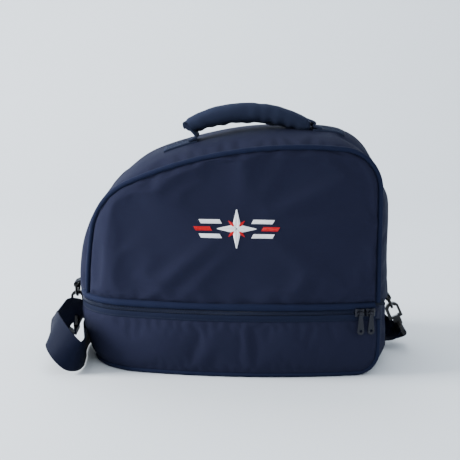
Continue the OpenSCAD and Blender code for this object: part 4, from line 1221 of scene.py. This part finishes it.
route = np.array([  # x, y and z, then the direction across the strap's width
    (*left_end(-2.55, -9.3), 0, 1, 0), (*left_end(-2.55, -13), 0, 1, 0),
    (eye_x - 6.5, side_y - 0.5, eye_z - 17.5, 0, 1, 0),
    (eye_x - 12, side_y - 2, eye_z - 15, 0.05, 1, 0), (tip - 23, 15, 27, 0.4, 0.9, 0.05),
    (tip - 18, 5, 38, 0.88, 0.45, 0.1), (tip - 16, -2, 50, 0.95, 0.2, 0.25),
    (tip - 20, -11, 59, 0.9, -0.05, 0.45), (tip - 28, -25, 58, 0.6, -0.1, 0.8),
    (tip - 32, -46, 45, 0.3, 0, 0.95), (tip - 30, -66, 47, 0.35, 0, 0.93),
    (tip - 26, -84, 46, 0.5, 0, 0.86), (tip - 18, -97, 38, 0.6, 0.05, 0.8),
    (tip - 9, -103, 29, 0.62, 0.05, 0.78), (tip - 1, -102, 22, 0.5, 0.05, 0.86),
    (tip + 5, -92, 20, 0.25, 0.1, 0.96), (tip + 7, -74, STAND, 0.1, 0.03, 1),
    (tip + 6, -54, STAND, 0.05, 0, 1), (tip + 3, -30, STAND, -0.05, 0, 1),
    (tip, -5, STAND, -0.05, 0, 1), (tip, 25, STAND, -0.05, 0, 1),
    (tip + 4, behind - 86, STAND, -0.05, 0.05, 1), (tip + 15, behind - 56, STAND, -0.1, 0.1, 1),
    (tip + 33, behind - 31, 18.5, -0.2, 0.4, 0.88),
    (tip + 55, behind - 13, 15.5, -0.1, 0.87, 0.45), (tip + 73, behind - 3, 11.5, 0, 0.98, 0.18),
    (tip + 86, behind - 0.5, TOP_LAY + 0.8, 0, 1, 0.05),
    *flat_run((-80, -50, -15, 20, 50, 72), behind, TOP_LAY),
    *turn_back(85, behind + 1, TOP_LAY, 1),
    *flat_run((65, 30, -5, -40, -65), behind + 4, MID_LAY),
    *turn_back(-80, behind + 3, MID_LAY, -1), *flat_run((-60, -30), behind + 3, LAY),
    *flat_run((0, 30, 60, 85, 105, 114), behind + 1, LAY), (123, behind + 1, LAY + 0.4, 0, 1, 0),
    (end - 28, behind - 4, 6.5, 0.1, 0.98, 0.1), (end - 13, behind - 13, 13, 0.35, 0.7, 0.6),
    (end + 3, behind - 27, 18, 0.35, 0.3, 0.88), (end + 16, behind - 45, STAND, 0.15, 0, 0.99),
    (end + 24, 72, STAND, 0, 0, 1), (end + 27, 54, STAND, 0, 0.05, 1),
    (end + 26, 41, 18.5, 0.1, 0.35, 0.93), (end + 28.5, 30, 13, 0.3, 0.75, 0.6),
    (*right_end(-2.55, -15.3), 0, 1, 0), (*right_end(-2.55, -9.3), 0, 1, 0)])
fine = curve_through(route, 9)
strap_middle = fine[:, :3] * MM
STRAP_LENGTH = float(lengths(strap_middle, 3)[-1])
print("strap route", len(fine), "points,", round(STRAP_LENGTH, 3), "m")

# %% Strap pieces
number, x_mm, y_mm = np.arange(len(fine)), fine[:, 0], fine[:, 1]
apex = int(np.argmin(y_mm))
before_apex = number < apex
cut_eye, cut_hook = (int(number[before_apex & (y_mm > y)].max()) for y in (4, -30))
fold_start = int(number[x_mm > 80][0])
turn_top = fold_start + int(np.argmax(x_mm[fold_start:fold_start + 60]))
right_side = (number > turn_top) & (x_mm > end)
cut_ring_r, cut_hook_r, cut_eye_r = (int(number[right_side & (y_mm < y)][0])
                                     for y in (97, 60, 41))
whole_strap = ribbon_rings(strap_middle, STRAP_W, STRAP_T, fine[:, 3:])
whole_strap[..., 2] += np.maximum(0.3 * MM - whole_strap[..., 2].min(1), 0)[:, None]
strap_ends = {
    "strap_eye_left": (0, cut_eye), "strap_hook_left": (cut_eye, cut_hook),
    "strap_loop_left": (cut_hook, apex), "strap_side_left": (apex, turn_top),
    "strap_folded": (turn_top, cut_ring_r), "strap_side_right": (cut_ring_r, cut_hook_r),
    "strap_hook_right": (cut_hook_r, cut_eye_r), "strap_eye_right": (cut_eye_r, len(fine) - 1)}
strap = {name: loft(name, whole_strap[start:stop + 1], strap_web)
         for name, (start, stop) in strap_ends.items()}
print("strap cut at", strap_ends)

# %% Ends of the strap
FOLD = ((-1.55, -16), (-1.5, -11), (-1.3, -8), (0.9, -5), (2.9, -2.2), (3.45, 0), (2.4, 2.4),
        (0, 3.45), (-2.4, 2.4), (-3.4, 0), (-3.4, -3), (-3.1, -6.5), (-2.9, -9.6))


def fold(name, place):
    """The strap's end turned round the eye's bar and sewn to itself."""
    path = curve_through(np.array([place(x, z) for x, z in FOLD]) * MM, 5)
    return loft(name, ribbon_rings(path, STRAP_W, 1.5 * MM), strap_web)


fold_left = fold("strap_fold_left", left_end)
fold_right = fold("strap_fold_right", right_end)
print("strap ends folded:", len(fold_left.data.polygons), "faces each")

# %% [markdown]
# ## Stitches
# A lockstitch shows as a row of short rounded dashes that sink into the cloth at both ends.
# Each dash is a small spindle laid on the surface, and the rows follow the real seams: the
# boxes on the handle's tails, the sewn ends of the strap, and the long zip's lower tape.

# %% A row of stitches
SPINDLE_AT = np.array([0, 0.18, 0.5, 0.82, 1])
SPINDLE_R = np.array([0.5, 0.9, 1, 0.9, 0.5])
SPINDLE_LIFT = np.array([-0.9, 0.1, 0.4, 0.1, -0.9])


def stitch_parts(points, normals, dash=2.6 * MM, gap=1.0 * MM, radius=0.28 * MM):
    """Spindles along points, raised a little along normals."""
    s = lengths(points, 3)
    parts = []
    for start in np.arange(gap / 2, s[-1] - dash, dash + gap):
        p, n = (between(start + dash * SPINDLE_AT, s, c) for c in (points, normals))
        p = p + n * (0.12 * MM + radius * SPINDLE_LIFT)[:, None]
        parts.append(loft_parts(tube_rings(p, radius * SPINDLE_R, 6, start=n[2])))
    return parts


def stitched_box(x0, x1):
    """A box with its two diagonals, as on a handle's tail."""
    low, high = HANDLE_Y - 10 * MM, HANDLE_Y + 10 * MM
    a, b, c, d = (x0, low), (x1, low), (x1, high), (x0, high)
    parts = []
    for start, stop in ((a, b), (b, c), (c, d), (d, a), (a, c), (d, b)):
        row = zip(*(np.linspace(p, q, 16) for p, q in zip(start, stop)))
        found = np.array([np.concatenate(crest(x, y)) for x, y in row])
        parts += stitch_parts(found[:, :3] + found[:, 3:] * TAIL_T, found[:, 3:])
    return parts


tail_stitches = joined(
    "tail_stitches", stitched_box(foot_left - 33 * MM, foot_left - 8 * MM)
    + stitched_box(foot_right + 10 * MM, foot_right + 35 * MM), thread)
print("tail stitches:", len(tail_stitches.data.polygons), "faces")

# %% Stitches on straps and tapes
def fold_stitches(name, place):
    """Two rows across the strap's sewn end, on both of its faces."""
    parts, ys = [], np.linspace(-15, 15, 20)
    for z in (-6.5, -8.8):
        for x, way in ((-3.75, -1), (-0.75, 1)):
            row = np.array(place(x, z)) + spots(0, ys, 0)
            normal = np.array(place(way, 0)) - np.array(place(0, 0))
            parts += stitch_parts(row * MM, np.tile(normal, (20, 1)), 2.0 * MM, 0.8 * MM)
    return joined(name, parts, thread)


stitches_left = fold_stitches("strap_end_stitches_left", left_end)
stitches_right = fold_stitches("strap_end_stitches_right", right_end)
whole, out = plan_band(BAND_INSET, 500)
tape_stitches = joined("zip_tape_stitches", stitch_parts(
    spots(*(whole + out * 0.55 * MM).T, tape_foot + 1.5 * MM), spots(*out.T, 0),
    2.4 * MM, 0.9 * MM, 0.24 * MM), thread)
print("strap and tape stitches:", len(stitches_left.data.polygons), "and",
      len(tape_stitches.data.polygons), "faces")

# %% [markdown]
# ## Embroidery
# A plain compass star between two sets of bars is worked in satin stitch: threads lie side
# by side from one edge of each shape to the other, a little arched over their padding. Each
# thread is real geometry, laid on the front panel by rays cast at it.

# %% Threads across a shape
EMBLEM_X, EMBLEM_Z = 5 * MM, 172 * MM
THREAD_PITCH, PILE = 0.42 * MM, 0.75 * MM
front_tree = surface_of(front)


def satin(first, second):
    """Threads from one edge to the other; edges are pairs of points in millimetres."""
    first, second = np.asarray(first, float) * MM, np.asarray(second, float) * MM
    longest = max(np.linalg.norm(first[1] - first[0]), np.linalg.norm(second[1] - second[0]))
    parts = []
    for t in np.arange(0.5, longest / THREAD_PITCH) * THREAD_PITCH / longest:
        a, b = first[0] + (first[1] - first[0]) * t, second[0] + (second[1] - second[0]) * t
        width = np.linalg.norm(b - a)
        if width < 0.4 * MM:
            continue
        path = []
        for part in (0, 0.12, 0.5, 0.88, 1):
            x, z = a + (b - a) * part
            place, normal = hit(front_tree, (EMBLEM_X + x, -0.4, EMBLEM_Z + z), (0, 1, 0))
            high = PILE * min(1, width / (4 * MM)) * (1 - abs(2 * part - 1) ** 3)
            path.append(place + normal * (high + 0.02 * MM))
        parts.append(loft_parts(tube_rings(path, THREAD_PITCH * 0.55, 5, start=normal),
                                capped=False))
    return parts


print("threads lie every", THREAD_PITCH / MM, "mm")

# %% Star and bars
POINT, WAIST, RAY, BAR_HALF, BAR_SLANT = 23.5, 4.4, 13.5 * math.sqrt(0.5), 2.3, 2.5
white, red = [], []


def sew_quarter(c, s):
    """A quarter of the star, turned by an angle of cosine c and sine s."""
    def spin(x, z):
        return (x * c - z * s, x * s + z * c)
    point, ray = spin(0, POINT), spin(RAY, RAY)
    for side in (-1, 1):
        white.extend(satin([spin(0, 0.5), point], [spin(side * WAIST, WAIST), point]))
    red.extend(satin([spin(1.2, 4.9), ray], [spin(4.9, 1.2), ray]))


for turned in ((1, 0), (0, 1), (-1, 0), (0, -1)):
    sew_quarter(*turned)
for side in (-1, 1):
    for z, start, stop, pile in ((8.2, 16.5, 40, white), (-8.2, 16.5, 40, white),
                                 (0, 27.5, 46, red)):
        low, high = z - BAR_HALF, z + BAR_HALF
        pile.extend(satin([(side * start, low), (side * stop, low)],
                          [(side * (start + BAR_SLANT), high), (side * (stop + BAR_SLANT), high)]))
white_work = joined("embroidery_white", white, white_silk)
red_work = joined("embroidery_red", red, red_silk)
print("threads:", len(white), "white and", len(red), "red")

# %% [markdown]
# ## The metal and moulded pieces
# Rings, hooks, gates, eyes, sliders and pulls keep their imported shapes. A narrow bevel gives
# their edges something to catch the light, and each gets its own finish.

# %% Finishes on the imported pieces
def dress(names, finish, bevel):
    """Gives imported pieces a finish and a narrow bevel."""
    for name in names.split():
        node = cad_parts[name]
        node.data.materials.clear()
        node.data.materials.append(finish)
        edge = node.modifiers.new("worn edge", "BEVEL")
        edge.width, edge.segments, edge.limit_method = bevel, 2, "ANGLE"
        edge.angle_limit = math.radians(35)
        edge.harden_normals = False


dress("ring_left ring_right hook_left hook_right gate_left gate_right eye_left eye_right",
      gunmetal, 0.35 * MM)
dress("front_slider corner_slider door_slider front_pull corner_pull door_pull",
      pull_metal, 0.22 * MM)
dress("strap_adjuster", black_nylon, 0.5 * MM)
dress("lower_zip_stops door_zip_stops", trim_cloth, 0.5 * MM)
print("hardware dressed")

# %% [markdown]
# ## What moves with what
# Cloth on one body rides on it. Cloth that crosses a joint, the handle's legs and every
# stretch of the strap next to a ring, hook or eye, rides on no body and stays where it was built.

# %% Rides and replacements
def rides(body, *rows):
    """Puts pieces on a body; a row is a piece, its slot (not used), and the node it stands for, if
    any.
    """
    for piece, slot_name, *nodes in rows:
        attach(piece, body)
        if nodes:
            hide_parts(*nodes)


rides("tray", (tray_wall, "shell_cloth", "lower_wall"), (end_wall, "shell_cloth", "lower_end_wall"),
      (base, "shell_cloth", "base_panel"), (board, "board", "base_board"),
      (tray_piping, "trim_cloth", "lower_piping"), (tape_lower, "tape", "lower_tape_bottom"),
      (coil_lower, "coil", "lower_coil_bottom"), (tape_stitches, "trim_cloth"),
      (tab_right, "strap_web", "tab_right"), (strap["strap_folded"], "strap_web", "strap"))
rides("shell", (front, "shell_cloth", "front_panel"), (boxing, "shell_cloth", "gusset"),
      (divider, "shell_cloth", "divider"), (front_piping, "trim_cloth", "front_piping"),
      (tape_roll, "tape", "lower_tape_top"), (coil_upper, "coil", "lower_coil_top"),
      (fixed_tape, "tape", "door_tape_fixed"), (fixed_coils, "coil", "door_coil_fixed"),
      (tail_left, "trim_cloth", "handle_tail_left"),
      (tail_right, "trim_cloth", "handle_tail_right"),
      (tail_stitches, "trim_cloth"), (tab_left, "strap_web", "tab_left"),
      (white_work, "trim_cloth"), (red_work, "trim_cloth"))
rides("door", (door, "shell_cloth", "door_panel"), (door_piping, "trim_cloth", "door_piping"),
      (door_tape, "tape", "door_tape"), (door_coils, "coil", "door_coil"))
rides("handle", (grip, "trim_cloth", "handle_grip"), (grip_flap, "trim_cloth"),
      (core, "foam", "handle_core"))
rides("eye_left", (fold_left, "strap_web", "strap_end_left"), (stitches_left, "strap_web"))
rides("eye_right", (fold_right, "strap_web", "strap_end_right"), (stitches_right, "strap_web"))
print("rides set")

# %% Pieces across joints
def bends(piece, start, end):
    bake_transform(piece)


for leg_piece, foot_z, start, end in ((leg_left, left_z, 4, 19), (leg_right, right_z, 3, 12)):
    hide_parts("handle_webbing")
    bends(leg_piece, (0, 0, foot_z + start),
          (0, 0, foot_z + end))
bends(strap["strap_side_left"], (84, 0, 0), (-165, 0, 0))
for name, a, b, start, end in (
        ("loop_left", "shell", "ring_left", -86, -31),
        ("hook_left", "ring_left", "hook_left", -29, 3),
        ("eye_left", "hook_left", "eye_left", 5, 22),
        ("side_right", "tray", "ring_right", 95, 61),
        ("hook_right", "ring_right", "hook_right", 59, 42),
        ("eye_right", "hook_right", "eye_right", 40, 28)):
    bends(strap["strap_" + name], (0, start, 0), (0, end, 0))

# %% [markdown]
# ## The strap's length
# The strap is a flat sheet 38 mm wide, laid round the bag; the panels and sleeve are padded.

# %% Strap length
for name, (start, stop) in strap_ends.items():
    length = float(lengths(strap_middle[start:stop + 1], 3)[-1])
print("declared: 1 strap", round(STRAP_LENGTH, 3), "m long, and 8 padded pieces")

# %% [markdown]
# ## Studio
# A pale sweep of paper, a large soft light from the upper left, a weaker one from the right
# and an even pale sky.

# %% Sweep
SWEEP_R, SWEEP_HALF = 1.2, 5.0
paper = Finish("studio_paper")
grain = paper.noise(3, 4)
paper.surface(Base_Color=paper.mix(grain, (0.680, 0.728, 0.772), (0.700, 0.748, 0.792)),
              Roughness=0.9 + grain * 0.05)
turn = np.linspace(0, math.pi / 2, 14)
sweep = np.concatenate([
    [[-4.0, 0.0], [0.9, 0.0]],
    spots(SWEEP_R + SWEEP_R * np.sin(turn), SWEEP_R - SWEEP_R * np.cos(turn)),
    [[2 * SWEEP_R, 4.0]]])
points = np.array([[x, y, z] for y, z in sweep for x in (-SWEEP_HALF, SWEEP_HALF)])
quads = np.array([[2 * k, 2 * k + 1, 2 * k + 3, 2 * k + 2] for k in range(len(sweep) - 1)])
floor = make_piece("paper_sweep", points, quads, points[quads][..., :2], [paper.material])
print("sweep of", len(quads), "strips")

# %% Lights
def soft_light(name, place, aim, size, power):
    lamp = bpy.data.lights.new(name, "AREA")
    lamp.shape, lamp.size, lamp.energy = "DISK", size, power
    holder = bpy.data.objects.new(name, lamp)
    bpy.context.scene.collection.objects.link(holder)
    holder.location = place
    holder.rotation_euler = (Vector(aim) - Vector(place)).to_track_quat("-Z", "Y").to_euler()


soft_light("key", (-2.4, -0.2, 0.85), (0, 0, 0.14), 1.2, 185)
soft_light("fill", (0.6, -2.4, 0.9), (0, 0, 0.12), 1.4, 6)
soft_light("top", (-0.3, 1.2, 2.0), (0, 0, 0.1), 1.6, 24)
world = bpy.data.worlds.new("sky")
bpy.context.scene.world = world
world.use_nodes = True
sky = world.node_tree.nodes["Background"].inputs
sky["Color"].default_value = (0.87, 0.93, 1.0, 1)
sky["Strength"].default_value = 1.38
print("lights set")
